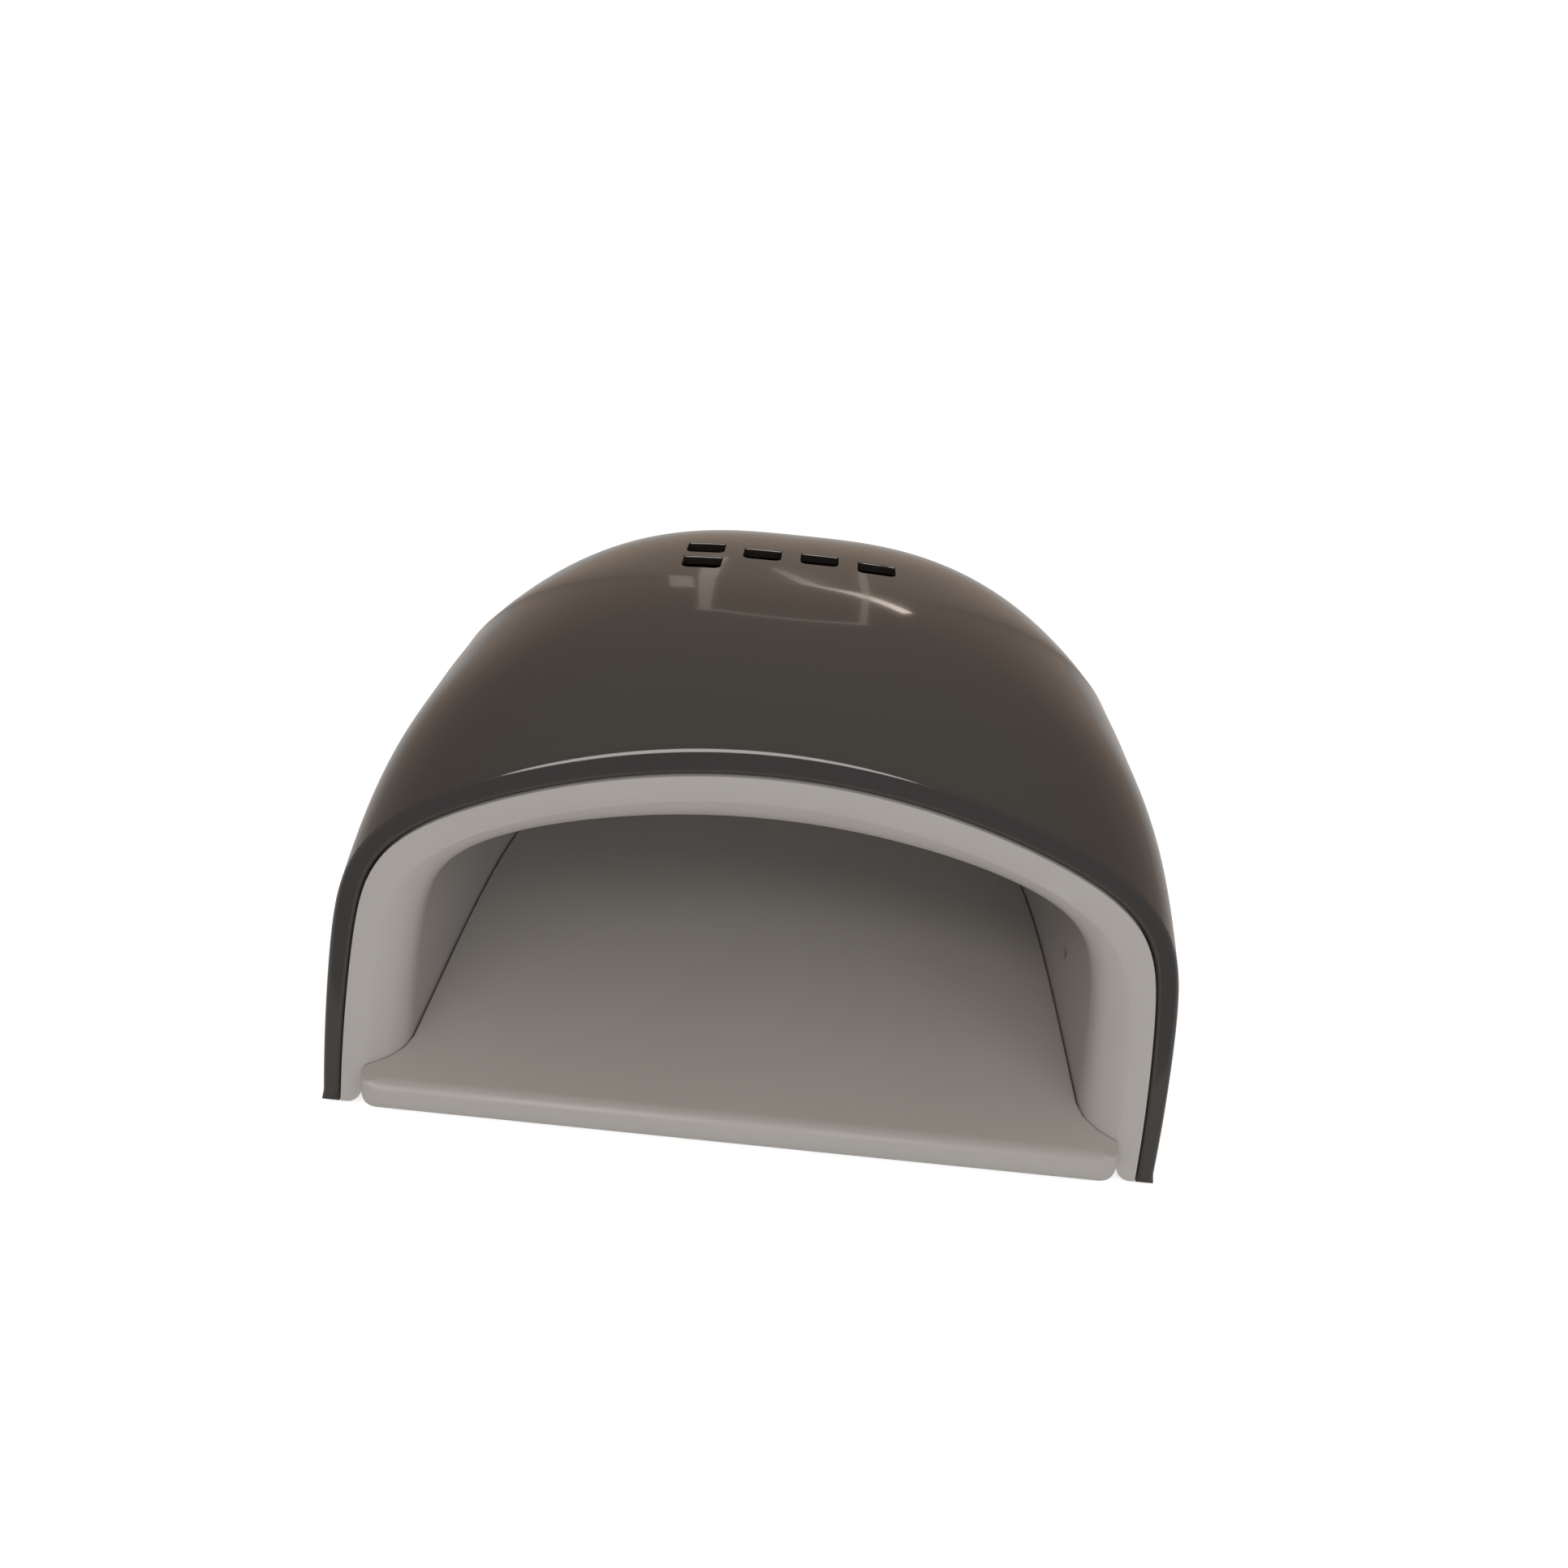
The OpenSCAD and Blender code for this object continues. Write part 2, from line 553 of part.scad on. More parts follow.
module inner_liner() {
    color("#b4aca2") difference() {
        union() {
            placed() difference() {
                hood(
                    [for (i = [0:len(tunnel_depths(liner_wall)) - 1])
                        let(d = tunnel_depths(liner_wall)[i])
                        i < 2 ? rim_rib(i * liner_wall)
                        : tunnel_rib(d + liner_wall * max(0, 1 - d / funnel_d), liner_wall)],
                    [for (d = tunnel_depths(0)) tunnel_rib(d, 0)],
                    [0, tunnel_d + liner_wall, 0], [0, tunnel_d, 0]);
                translate([-body_w, frame_y0 - 0.2, -1]) cube([2 * body_w, body_d, frame_top + 1]);
                for (s = [0, 1]) mirror([s, 0, 0]) rim_foot();
            }
            placed() for (p = ceiling_posts) {
                low = ceiling_z(p[0], p[1]) + 1;
                translate([p[0], p[1], low]) cylinder(r = post_r, h = ceiling_board_z - low);
            }
            for (s = [-1, 1], a = side_posts) on_side(s)
                translate([a, side_post_b, 1 - side_reach(a, side_post_b)])
                    cylinder(r = post_r, h = side_reach(a, side_post_b) - 1);
            for (x = rear_posts) on_rear()
                translate([x, 0, back_y(x, rear_z) + 1 - rear_board_y])
                    cylinder(r = post_r, h = rear_board_y - back_y(x, rear_z) - 1);
        }
        placed() for (x = ceiling_xs, y = ceiling_ys)
            translate([x, y, ceiling_z(x, y) - 8]) cylinder(r = lens_r + lens_gap, h = 20);
        for (s = [-1, 1], a = side_lamps) on_side(s)
            translate([a, side_lamp_z, -side_reach(a, side_lamp_z) - 8])
                cylinder(r = lens_r + lens_gap, h = side_reach(a, side_lamp_z) + 7);
        for (x = rear_lamps) on_rear()
            translate([x, 0, -20]) cylinder(r = lens_r + lens_gap, h = 20);
        on_side(1) translate([sensor_a, sensor_b, -30]) cylinder(r = sensor_r + lens_gap, h = 30);
        placed() for (p = ceiling_posts)
            translate([p[0], p[1], ceiling_board_z - 5]) cylinder(r = pilot_r, h = pilot_d + 2);
        for (s = [-1, 1], a = side_posts) on_side(s)
            translate([a, side_post_b, -side_pilot]) cylinder(r = pilot_r, h = pilot_d + 1);
        for (x = rear_posts) on_rear() translate([x, 0, -side_pilot])
            cylinder(r = pilot_r, h = pilot_d + 1);
    }
}

module base_frame() {
    outer = plan_side(frame_e, frame_y0);
    color("#3a3634") placed() difference() {
        translate([0, 0, frame_z]) linear_extrude(frame_t) difference() {
            polygon(concat(outer, [[0, body_d - frame_e]], mirrored(outer)));
            tray_plan(tray_z0, ledge_w, 0, tray_d - ledge_w - 2 * magnet_r);
            translate([-nose_end - tray_gap, 0])
                square([2 * (nose_end + tray_gap), nose_y + tray_nose_r + tray_gap]);
        }
        for (p = boss_at) translate([p[0], p[1], frame_z - 1]) {
            cylinder(r = case_screw_r + head_play, h = frame_t + 2);
            cylinder(r = screw_head_r + head_play, h = 1 + screw_head_t + 0.2);
        }
        for (p = foot_at) translate([p[0], p[1], frame_z - 1])
            cylinder(r = foot_r + foot_play, h = 1 + foot_in);
        for (p = magnet_at) translate([p[0], p[1], frame_top - magnet_t])
            cylinder(r = magnet_r + foot_play, h = magnet_t + 1);
    }
}

module rubber_feet() {
    color("#2a2928") placed() for (p = foot_at)
        translate([p[0], p[1], -foot_proud]) cylinder(r = foot_r, h = foot_proud + frame_z + foot_in);
}

// Tray: a floor, a rim and ribs below it, and a rounded front edge
rib_pitch = 40;
nose_drop = 0.06;
module removable_tray() {
    floor_z = tray_h - tray_floor;
    color("#9f968c") placed() difference() {
        union() {
            intersection() {
                translate([0, 0, floor_z]) linear_extrude(tray_floor)
                    tray_plan(tray_h, 0, nose_y, tray_d);
                funnel_space();
            }
            intersection() {
                translate([0, 0, tray_z0]) linear_extrude(floor_z - tray_z0 + eps) difference() {
                    tray_plan(floor_z, 0, nose_y, tray_d);
                    difference() {
                        tray_plan(tray_z0, tray_rib, nose_y + tray_rib, tray_d - tray_rib);
                        for (x = [-1, 0, 1]) translate([x * rib_pitch - tray_rib / 2, 0])
                            square([tray_rib, tray_d]);
                        for (p = magnet_at) translate(p) circle(magnet_r + tray_rib);
                    }
                }
                funnel_space();
            }
            intersection() {
                translate([0, nose_y, tray_h - tray_nose_r - nose_drop]) rotate([0, 90, 0])
                    rotate_extrude() intersection() {
                        union() {
                            square([2 * tray_nose_r, 2 * nose_x], center = true);
                            for (x = [-1, 1]) translate([0, x * nose_x]) circle(tray_nose_r);
                        }
                        translate([0, -body_w / 2]) square([body_w, body_w]);
                    }
                funnel_space();
            }
        }
        for (p = magnet_at) translate([p[0], p[1], tray_z0 - 1])
            cylinder(r = magnet_r + foot_play, h = magnet_t + 1);
    }
}

module tray_magnets() {
    color("#8d9196") placed() for (p = magnet_at)
        translate([p[0], p[1], tray_z0]) cylinder(r = magnet_r, h = magnet_t);
}

module frame_magnets() {
    color("#8d9196") placed() for (p = magnet_at)
        translate([p[0], p[1], frame_top - magnet_t]) cylinder(r = magnet_r, h = magnet_t);
}

module control_panel() {
    color("#2c2928") on_panel() translate([0, 0, -panel_t]) linear_extrude(panel_t) difference() {
        round_rect(panel_w, panel_l, panel_r);
        translate([0, window_y]) round_rect(window_w, window_l, window_r);
        for (x = button_xs) translate([x, buttons_y]) circle(button_r + button_gap);
    }
}

module display_window() {
    color("#151515", 0.6) on_panel() translate([0, window_y, -window_t]) linear_extrude(window_t)
        round_rect(window_w - 2 * window_gap, window_l - 2 * window_gap, window_r - window_gap);
}

module display_module() {
    w = window_w - 2 * module_in;
    l = window_l - module_in;
    color("#202020") on_panel() translate([-w / 2, window_y - l / 2, board_top])
        cube([w, l, -board_top - window_t]);
}

module control_board() {
    color("#2f6b45") on_panel() difference() {
        translate([-board_w / 2, -board_l / 2, board_top - board_t]) cube([board_w, board_l, board_t]);
        for (x = post_xs, y = post_ys)
            translate([x, y, board_top - board_t - 1]) cylinder(r = pilot_r + 0.2, h = board_t + 2);
    }
}

switch_w = 6;
switch_h = 4;
plunger_r = 1.6;
plunger_h = 0.8;
module tact_switches() {
    color("#303030") on_panel() for (x = button_xs) translate([x, buttons_y, board_top]) {
        translate([-switch_w / 2, -switch_w / 2, 0]) cube([switch_w, switch_w, switch_h]);
        cylinder(r = plunger_r, h = switch_h + plunger_h);
    }
}

// Button: a cap through the panel, a flange under it and a short stem over its switch
flange_r = button_r + 0.8;
flange_t = 0.9;
flange_gap = 0.2;
button_edge = 0.4;
module timer_button(i) {
    flange_top = -panel_t - flange_gap;
    flange_z = flange_top - flange_t;
    stem_z = board_top + switch_h + plunger_h + button_travel + 0.1;
    color("#b9b5b0") on_panel() translate([button_xs[i], buttons_y, 0]) {
        translate([0, 0, flange_top - eps])
            cylinder(r = button_r, h = button_proud - button_edge - flange_top + eps);
        translate([0, 0, button_proud - button_edge])
            cylinder(r1 = button_r, r2 = button_r - button_edge, h = button_edge);
        translate([0, 0, flange_z]) cylinder(r = flange_r, h = flange_t);
        translate([0, 0, stem_z]) cylinder(r = plunger_r, h = flange_z - stem_z + eps);
    }
}
module button_10s() { timer_button(0); }
module button_30s() { timer_button(1); }
module button_60s() { timer_button(2); }
module button_99s() { timer_button(3); }

board_bottom = board_top - board_t;
chip_at = [-8, -2];
chip_w = 12;
chip_l = 8;
chip_t = 1.6;
fet_xs = [10, 18];
fet_y = -4;
fet_w = 6;
fet_t = 2.2;
cap_xs = [-24, -14];
cap_y = -12;
cap_r = 4;
cap_h = 11;
coil_at = [16, 11];
coil_r = 5;
coil_core_r = 3.6;
coil_h = 7;
coil_rim = 1.4;
module driver_chips() {
    color("#262626") on_panel() {
        translate([chip_at[0], chip_at[1], board_bottom - chip_t]) cube([chip_w, chip_l, chip_t]);
        for (x = fet_xs) translate([x, fet_y, board_bottom - fet_t]) cube([fet_w, fet_w, fet_t]);
    }
}
module capacitors() {
    color("#3b4a6b") on_panel() for (x = cap_xs)
        translate([x, cap_y, board_bottom - cap_h]) cylinder(r = cap_r, h = cap_h);
}
module power_coil() {
    color("#8a5a3c") on_panel() translate([coil_at[0], coil_at[1], board_bottom - coil_h]) {
        cylinder(r = coil_r, h = coil_rim);
        cylinder(r = coil_core_r, h = coil_h);
        translate([0, 0, coil_h - coil_rim]) cylinder(r = coil_r, h = coil_rim);
    }
}

module ceiling_led_board() {
    color("#d7d7d2") placed() difference() {
        translate([-ceiling_w / 2, ceiling_y - ceiling_l / 2, ceiling_board_z])
            cube([ceiling_w, ceiling_l, board_t]);
        for (p = ceiling_posts) translate([p[0], p[1], ceiling_board_z - 1])
            cylinder(r = pilot_r + 0.2, h = board_t + 2);
    }
}
module side_board(s) {
    color("#d7d7d2") on_side(s) difference() {
        translate([-side_l / 2 - 2, -side_tall / 2, 0]) cube([side_l, side_tall, board_t]);
        for (a = side_posts) translate([a, side_post_b, -1])
            cylinder(r = pilot_r + 0.2, h = board_t + 2);
    }
}
module left_led_board() { side_board(-1); }
module right_led_board() { side_board(1); }
module rear_led_board() {
    color("#d7d7d2") on_rear() difference() {
        translate([-rear_w / 2, -rear_tall / 2, 0]) cube([rear_w, rear_tall, board_t]);
        for (x = rear_posts) translate([x, 0, -1]) cylinder(r = pilot_r + 0.2, h = board_t + 2);
    }
}

// A lamp lens of length l from its board, with a round nose that points down
module lens(l) {
    straight = l + lens_proud - lens_r;
    translate([0, 0, -straight]) cylinder(r = lens_r, h = straight);
    translate([0, 0, -straight]) intersection() {
        sphere(lens_r);
        translate([0, 0, -lens_r]) cube(2 * lens_r, center = true);
    }
}
module ceiling_lenses() {
    color("#e6e2f2") placed() for (x = ceiling_xs, y = ceiling_ys)
        translate([x, y, ceiling_board_z]) lens(ceiling_board_z - ceiling_z(x, y));
}
module side_lenses(s) {
    color("#e6e2f2") for (a = side_lamps) on_side(s)
        translate([a, side_lamp_z, 0]) lens(side_reach(a, side_lamp_z));
}
module left_lenses() { side_lenses(-1); }
module right_lenses() { side_lenses(1); }
module rear_lenses() {
    color("#e6e2f2") for (x = rear_lamps) on_rear()
        translate([x, 0, 0]) lens(rear_board_y - back_y(x, rear_z));
}

module ir_sensor() {
    color("#1c1c1e") on_side(1) translate([sensor_a, sensor_b, 0]) {
        reach = side_reach(sensor_a, sensor_b);
        translate([0, 0, -reach + 0.3]) cylinder(r = sensor_r, h = reach - 0.3);
    }
}

module dc_jack() {
    color("#222222") placed() translate([0, jack_seat_y, jack_z]) rotate([90, 0, 0]) {
        difference() {
            union() {
                translate([0, 0, -jack_flange_t]) cylinder(r = jack_flange_r, h = jack_flange_t);
                cylinder(r = jack_r, h = jack_thread);
                cylinder(r = jack_r - 0.8, h = jack_len);
            }
            translate([0, 0, -jack_flange_t - 1]) cylinder(r = socket_r, h = socket_d + 1);
        }
        translate([0, 0, -0.2]) cylinder(r = pin_r, h = socket_d);
    }
}
module jack_nut() {
    color("#9a9a9a") placed() translate([0, nut_y, jack_z]) rotate([90, 0, 0]) difference() {
        cylinder(r = jack_r + 2.4, h = nut_t, $fn = 6);
        translate([0, 0, -1]) cylinder(r = jack_r + thread_gap, h = nut_t + 2);
    }
}

module case_screws() {
    color("#a5a7aa") placed() for (p = boss_at) translate([p[0], p[1], frame_z + 0.3]) {
        cylinder(r = screw_head_r, h = screw_head_t - 0.3);
        cylinder(r = case_screw_r - thread_gap, h = case_screw_l - 1);
    }
}

small_head_r = 1.9;
small_head_t = 1.2;
module small_screw(l) {
    cylinder(r = small_head_r, h = small_head_t);
    translate([0, 0, -l]) cylinder(r = pilot_r - thread_gap, h = l);
}
module board_screws() {
    color("#a5a7aa") {
        placed() for (p = ceiling_posts)
            translate([p[0], p[1], ceiling_board_z + board_t]) small_screw(board_t + pilot_d - 0.3);
        for (s = [-1, 1], a = side_posts) on_side(s)
            translate([a, side_post_b, board_t]) small_screw(board_t + side_pilot - 0.3);
        for (x = rear_posts) on_rear()
            translate([x, 0, board_t]) small_screw(board_t + side_pilot - 0.3);
        on_panel() for (x = post_xs, y = post_ys) translate([x, y, board_bottom])
            rotate([180, 0, 0]) small_screw(board_t + pilot_d - 0.3);
    }
}

// Connectors and the leads between them
plug_w = 8;
plug_d = 6;
plug_h = 5;
lead_r = 1.1;
lead_sides = 10;
plug_z = ceiling_board_z + board_t;
ceiling_end = ceiling_y + ceiling_l / 2;
panel_plug_z = board_bottom - plug_h;
lead_z = board_bottom - plug_h / 2;
upper_y = -board_l / 2 + 1;
lower_y = board_l / 2 - 1;
side_plug_x = board_w / 2;
side_plug_y = 12;
second_x = -14;
side_plug_a = side_l / 2 - 2;
side_plug_b = -5;
rear_plug_z = rear_z - rear_tall / 2 + 1;
rear_plug_y = rear_board_y + board_t;
behind_y = (rear_plug_y + plug_d + jack_end) / 2;
lead_out = 7;
jack_lead_out = 12;
jack_lead_up = 16;
rear_lead_up = 20;
side_lead_up = 18;
side_lead_in = 10.3;
side_lead_back = 20;
upper_lead_in = 28.3;
upper_lead_back = 4;
function side_pt(s, a, b, z) = [
    s * (side_board_x - a * sin(side_turn) + z * cos(side_turn)),
    side_y + a * cos(side_turn) + z * sin(side_turn), side_z + b];

module lead(pts) {
    for (i = [0:len(pts) - 2]) {
        v = pts[i + 1] - pts[i];
        translate(pts[i]) rotate([0, acos(v[2] / norm(v)), atan2(v[1], v[0])])
            cylinder(r = lead_r, h = norm(v), $fn = lead_sides);
    }
    for (i = [1:len(pts) - 2]) translate(pts[i]) sphere(lead_r, $fn = lead_sides);
}
module wire_connectors() {
    color("#e8e4da") {
        placed() {
            translate([-plug_w / 2, ceiling_end - plug_d, plug_z]) cube([plug_w, plug_d, plug_h]);
            translate([-plug_w / 2, rear_plug_y, rear_plug_z]) cube([plug_w, plug_d, plug_h]);
        }
        for (s = [-1, 1]) on_side(s) translate([side_plug_a - plug_d, side_plug_b - plug_w / 2, board_t])
            cube([plug_d, plug_w, plug_h]);
        on_panel() {
            translate([-plug_w / 2, upper_y, panel_plug_z]) cube([plug_w, plug_d, plug_h]);
            for (x = [0, second_x]) translate([x - plug_w / 2, lower_y - plug_d, panel_plug_z])
                cube([plug_w, plug_d, plug_h]);
            for (s = [-1, 1]) translate([s * (side_plug_x - plug_w / 2) - plug_w / 2,
                side_plug_y - plug_d / 2, panel_plug_z]) cube([plug_w, plug_d, plug_h]);
        }
    }
}
module wiring_loom() {
    color("#8c1f1f") placed() {
        lead([[0, ceiling_end, plug_z + plug_h / 2], [0, ceiling_end + lead_out, plug_z + plug_h / 2],
            panel_pt(0, upper_y - lead_out, lead_z), panel_pt(0, upper_y, lead_z)]);
        for (s = [-1, 1]) lead([
            side_pt(s, side_plug_a, side_plug_b, board_t + plug_h / 2),
            side_pt(s, side_plug_a + lead_out, side_plug_b, board_t + plug_h / 2),
            [s * (tunnel_half - side_lead_in), tunnel_d - side_lead_back, side_z],
            [s * (tunnel_half - upper_lead_in), tunnel_d - upper_lead_back, side_z + side_lead_up],
            panel_pt(s * (side_plug_x + lead_out), side_plug_y, lead_z),
            panel_pt(s * side_plug_x, side_plug_y, lead_z)]);
        lead([[0, rear_plug_y + plug_d / 2, rear_plug_z + plug_h],
            [0, rear_plug_y + plug_d / 2, rear_plug_z + plug_h + rear_lead_up],
            panel_pt(0, lower_y + lead_out, lead_z), panel_pt(0, lower_y, lead_z)]);
        lead([[0, jack_end, jack_z], [0, behind_y, jack_z], [second_x, behind_y, jack_z + jack_lead_up],
            panel_pt(second_x, lower_y + jack_lead_out, lead_z), panel_pt(second_x, lower_y, lead_z)]);
    }
}

outer_shell();
inner_liner();
base_frame();
rubber_feet();
removable_tray();
tray_magnets();
frame_magnets();
control_panel();
display_window();
display_module();
control_board();
tact_switches();
driver_chips();
capacitors();
power_coil();
button_10s();
button_30s();
button_60s();
button_99s();
ceiling_led_board();
left_led_board();
right_led_board();
rear_led_board();
ceiling_lenses();
left_lenses();
right_lenses();
rear_lenses();
ir_sensor();
dc_jack();
jack_nut();
case_screws();
board_screws();
wire_connectors();
wiring_loom();
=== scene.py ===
import math

import bmesh
import bpy
from mathutils import Euler, Matrix, Vector
from mathutils.bvhtree import BVHTree


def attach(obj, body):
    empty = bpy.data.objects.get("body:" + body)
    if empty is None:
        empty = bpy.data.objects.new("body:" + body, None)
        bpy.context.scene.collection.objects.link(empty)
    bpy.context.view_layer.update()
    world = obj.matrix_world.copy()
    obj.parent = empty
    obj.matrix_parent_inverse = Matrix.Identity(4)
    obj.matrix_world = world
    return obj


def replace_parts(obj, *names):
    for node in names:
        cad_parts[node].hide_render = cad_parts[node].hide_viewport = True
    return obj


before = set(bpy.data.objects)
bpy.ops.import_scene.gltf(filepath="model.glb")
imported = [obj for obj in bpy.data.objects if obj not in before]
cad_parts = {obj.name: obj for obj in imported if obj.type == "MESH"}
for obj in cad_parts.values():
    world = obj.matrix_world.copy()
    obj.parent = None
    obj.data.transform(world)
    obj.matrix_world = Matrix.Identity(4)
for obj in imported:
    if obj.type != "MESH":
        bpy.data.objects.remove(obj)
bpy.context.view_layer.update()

# Camera: stands in front of the hand opening and looks down into it, turned a
# little about its own axis, as the lamp was photographed.
camera_place = Vector((0.002609, -0.273536, 0.244281))
camera_pitch = math.radians(35.807)
camera_roll = math.radians(5.843)
camera_data = bpy.data.cameras.new("camera")
camera_data.sensor_width = 36
camera_data.lens = 24.805
camera_data.clip_start = 0.01
camera = bpy.data.objects.new("camera", camera_data)
bpy.context.scene.collection.objects.link(camera)
camera_turn = Euler((math.pi / 2 - camera_pitch, 0, 0)).to_matrix() @ Matrix.Rotation(camera_roll, 3, "Z")
camera.matrix_world = Matrix.Translation(camera_place) @ camera_turn.to_4x4()
bpy.context.scene.camera = camera
bpy.context.scene.view_settings.view_transform = "Standard"

# Floor: a wide pale sheet under the lamp. The camera sees it as plain white,
# and it keeps the lamp's soft shadow. From below it is clear.
floor_half, floor_drop, floor_grey, floor_rough, floor_lift = 4, 0.0002, 0.86, 0.8, 0.7


def bare_paint(name):
    """A new material, with its nodes and links."""
    paint = bpy.data.materials.new(name)
    paint.use_nodes = True
    return paint, paint.node_tree.nodes, paint.node_tree.links


def fill(node, values):
    """Sets inputs of a shader node, by their names or numbers."""
    for socket, value in values.items():
        node.inputs[socket].default_value = value
    return node


def add(nodes, kind, values=None):
    """A new shader node with some of its inputs set."""
    return fill(nodes.new("ShaderNode" + kind), values or {})


def maths(nodes, operation, values=None):
    """A node that calculates."""
    node = add(nodes, "Math", values)
    node.operation = operation
    return node


def wire(links, *runs):
    """Links nodes: each run goes from an output of one to an input of another."""
    for source, out, target, into in runs:
        links.new(source.outputs[out], target.inputs[into])


def set_out(bm, name, paint):
    """Makes a finished mesh an object of the scene."""
    data = bpy.data.meshes.new(name)
    bm.to_mesh(data)
    bm.free()
    data.materials.append(paint)
    piece = bpy.data.objects.new(name, data)
    bpy.context.scene.collection.objects.link(piece)
    return piece


floor_paint, nodes, links = bare_paint("floor_paint")
floor_bsdf = nodes["Principled BSDF"]
fill(floor_bsdf, {"Base Color": (floor_grey, floor_grey, floor_grey, 1), "Roughness": floor_rough})
floor_glow = add(nodes, "Emission")
floor_ray = add(nodes, "LightPath")
floor_dim = maths(nodes, "MULTIPLY", {1: floor_lift})
floor_add = add(nodes, "AddShader")
floor_side = add(nodes, "NewGeometry")
floor_clear = add(nodes, "BsdfTransparent")
floor_mix = add(nodes, "MixShader")
wire(
    links,
    (floor_ray, "Is Camera Ray", floor_dim, 0),
    (floor_dim, 0, floor_glow, "Strength"),
    (floor_bsdf, 0, floor_add, 0),
    (floor_glow, 0, floor_add, 1),
    (floor_side, "Backfacing", floor_mix, 0),
    (floor_add, 0, floor_mix, 1),
    (floor_clear, 0, floor_mix, 2),
    (floor_mix, 0, nodes["Material Output"], "Surface"),
)
floor_mesh = bmesh.new()
bmesh.ops.create_grid(floor_mesh, x_segments=1, y_segments=1, size=floor_half)
floor = set_out(floor_mesh, "floor", floor_paint)
floor.location.z = -floor_drop

# Studio: a pale room, plain white to the camera. For everything else it is a little
# cooler in front, warmer behind and brighter overhead. Three soft panels light the
# lamp from the front, and a fourth one above is there for the gloss alone.
lit_place = Vector((0, 0, 0.05))


def colour_mix(nodes, values):
    """A node that blends two colours, its inputs 6 and 7."""
    node = add(nodes, "Mix")
    node.data_type = "RGBA"
    return fill(node, values)


world = bpy.data.worlds.new("studio")
bpy.context.scene.world = world
world.use_nodes = True
nodes, links = world.node_tree.nodes, world.node_tree.links
room = nodes["Background"]
room_side = add(nodes, "TexCoord")
room_axis = add(nodes, "SeparateXYZ")
room_depth = colour_mix(nodes, {6: (0.36, 0.37, 0.39, 1), 7: (0.50, 0.40, 0.33, 1)})
room_height = colour_mix(nodes, {7: (0.56, 0.52, 0.47, 1)})
for axis, low, high, mix in (("Y", -0.6, 0.7, room_depth), ("Z", 0.55, 1.0, room_height)):
    span = add(nodes, "MapRange", {"From Min": low, "From Max": high})
    span.interpolation_type = "SMOOTHSTEP"
    wire(links, (room_axis, axis, span, "Value"), (span, 0, mix, 0))
seen = add(nodes, "Background", {"Color": (1, 1, 1, 1)})
room_ray = add(nodes, "LightPath")
room_mix = add(nodes, "MixShader")
wire(
    links,
    (room_side, "Generated", room_axis, 0),
    (room_depth, 2, room_height, 6),
    (room_height, 2, room, "Color"),
    (room_ray, "Is Camera Ray", room_mix, 0),
    (room, 0, room_mix, 1),
    (seen, 0, room_mix, 2),
    (room_mix, 0, nodes["World Output"], "Surface"),
)
for light_name, place, wide, high, power, tint in (
    ("panel_gloss", (-0.3, -1.2, 1.6), 1.7, 0.6, 13.0, (1.0, 0.97, 0.93)),
    ("panel_high", (-0.3, -1.2, 1.6), 1.9, 0.5, 5.8, (1.0, 0.97, 0.93)),
    ("panel_side", (1.1, -1.0, 1.2), 1.0, 1.0, 2.2, (0.88, 0.94, 1.0)),
    ("panel_low", (0.2, -2.0, 0.35), 1.2, 1.2, 8.2, (0.86, 0.94, 1.0)),
):
    light_data = bpy.data.lights.new(light_name, "AREA")
    light_data.shape = "ELLIPSE"
    light_data.size, light_data.size_y = wide, high
    light_data.energy = power
    light_data.color = tint
    light = bpy.data.objects.new(light_name, light_data)
    bpy.context.scene.collection.objects.link(light)
    light.location = place
    light.rotation_euler = (lit_place - Vector(place)).to_track_quat("-Z", "Y").to_euler()
    light.visible_glossy = light_name == "panel_gloss"
    light.visible_diffuse = not light.visible_glossy

# Window behind the lamp, with a bright curtain rail: seen only where glossy
# plastic mirrors it. Each bar is a flat strip with a width and a glow at each end.
window_behind, window_tint = 2.0, (1.0, 0.86, 0.74, 1)
for bar_name, start, end, start_wide, end_wide, start_glow, end_glow in (
    ("window_top", (-0.46, 1.86), (0.31, 1.84), 0.04, 0.04, 1.2, 1.2),
    ("window_left", (-0.26, 0.82), (-0.41, 1.86), 0.085, 0.06, 1.0, 1.2),
    ("window_right", (0.17, 0.90), (0.285, 1.86), 0.03, 0.035, 0.95, 1.2),
    ("window_latch", (-0.44, 1.17), (-0.46, 1.37), 0.13, 0.13, 1.0, 1.2),
    ("curtain_rail", (-0.08, 0.96), (0.45, 1.45), 0.022, 0.070, 0.9, 6.0),
):
    way = (Vector(end) - Vector(start)).normalized()
    strip = bmesh.new()
    corners = []
    for (x, z), wide, side in (
        (start, start_wide, -1), (start, start_wide, 1), (end, end_wide, 1), (end, end_wide, -1),
    ):
        corner = x - side * way.y * wide / 2, window_behind, z + side * way.x * wide / 2
        corners.append(strip.verts.new(corner))
    strip.faces.new(corners)
    glow_paint, nodes, links = bare_paint(bar_name + "_glow")
    nodes.remove(nodes["Principled BSDF"])
    glow = add(nodes, "Emission", {"Color": window_tint})
    strip_place = add(nodes, "TexCoord")
    strip_axis = add(nodes, "SeparateXYZ")
    rise = add(nodes, "MapRange", {
        "From Min": start[1], "From Max": end[1], "To Min": start_glow, "To Max": end_glow,
    })
    wire(
        links,
        (strip_place, "Object", strip_axis, 0),
        (strip_axis, "Z", rise, "Value"),
        (rise, 0, glow, "Strength"),
        (glow, 0, nodes["Material Output"], "Surface"),
    )
    bar = set_out(strip, bar_name, glow_paint)
    bar.visible_camera = bar.visible_diffuse = bar.visible_shadow = bar.visible_transmission = False

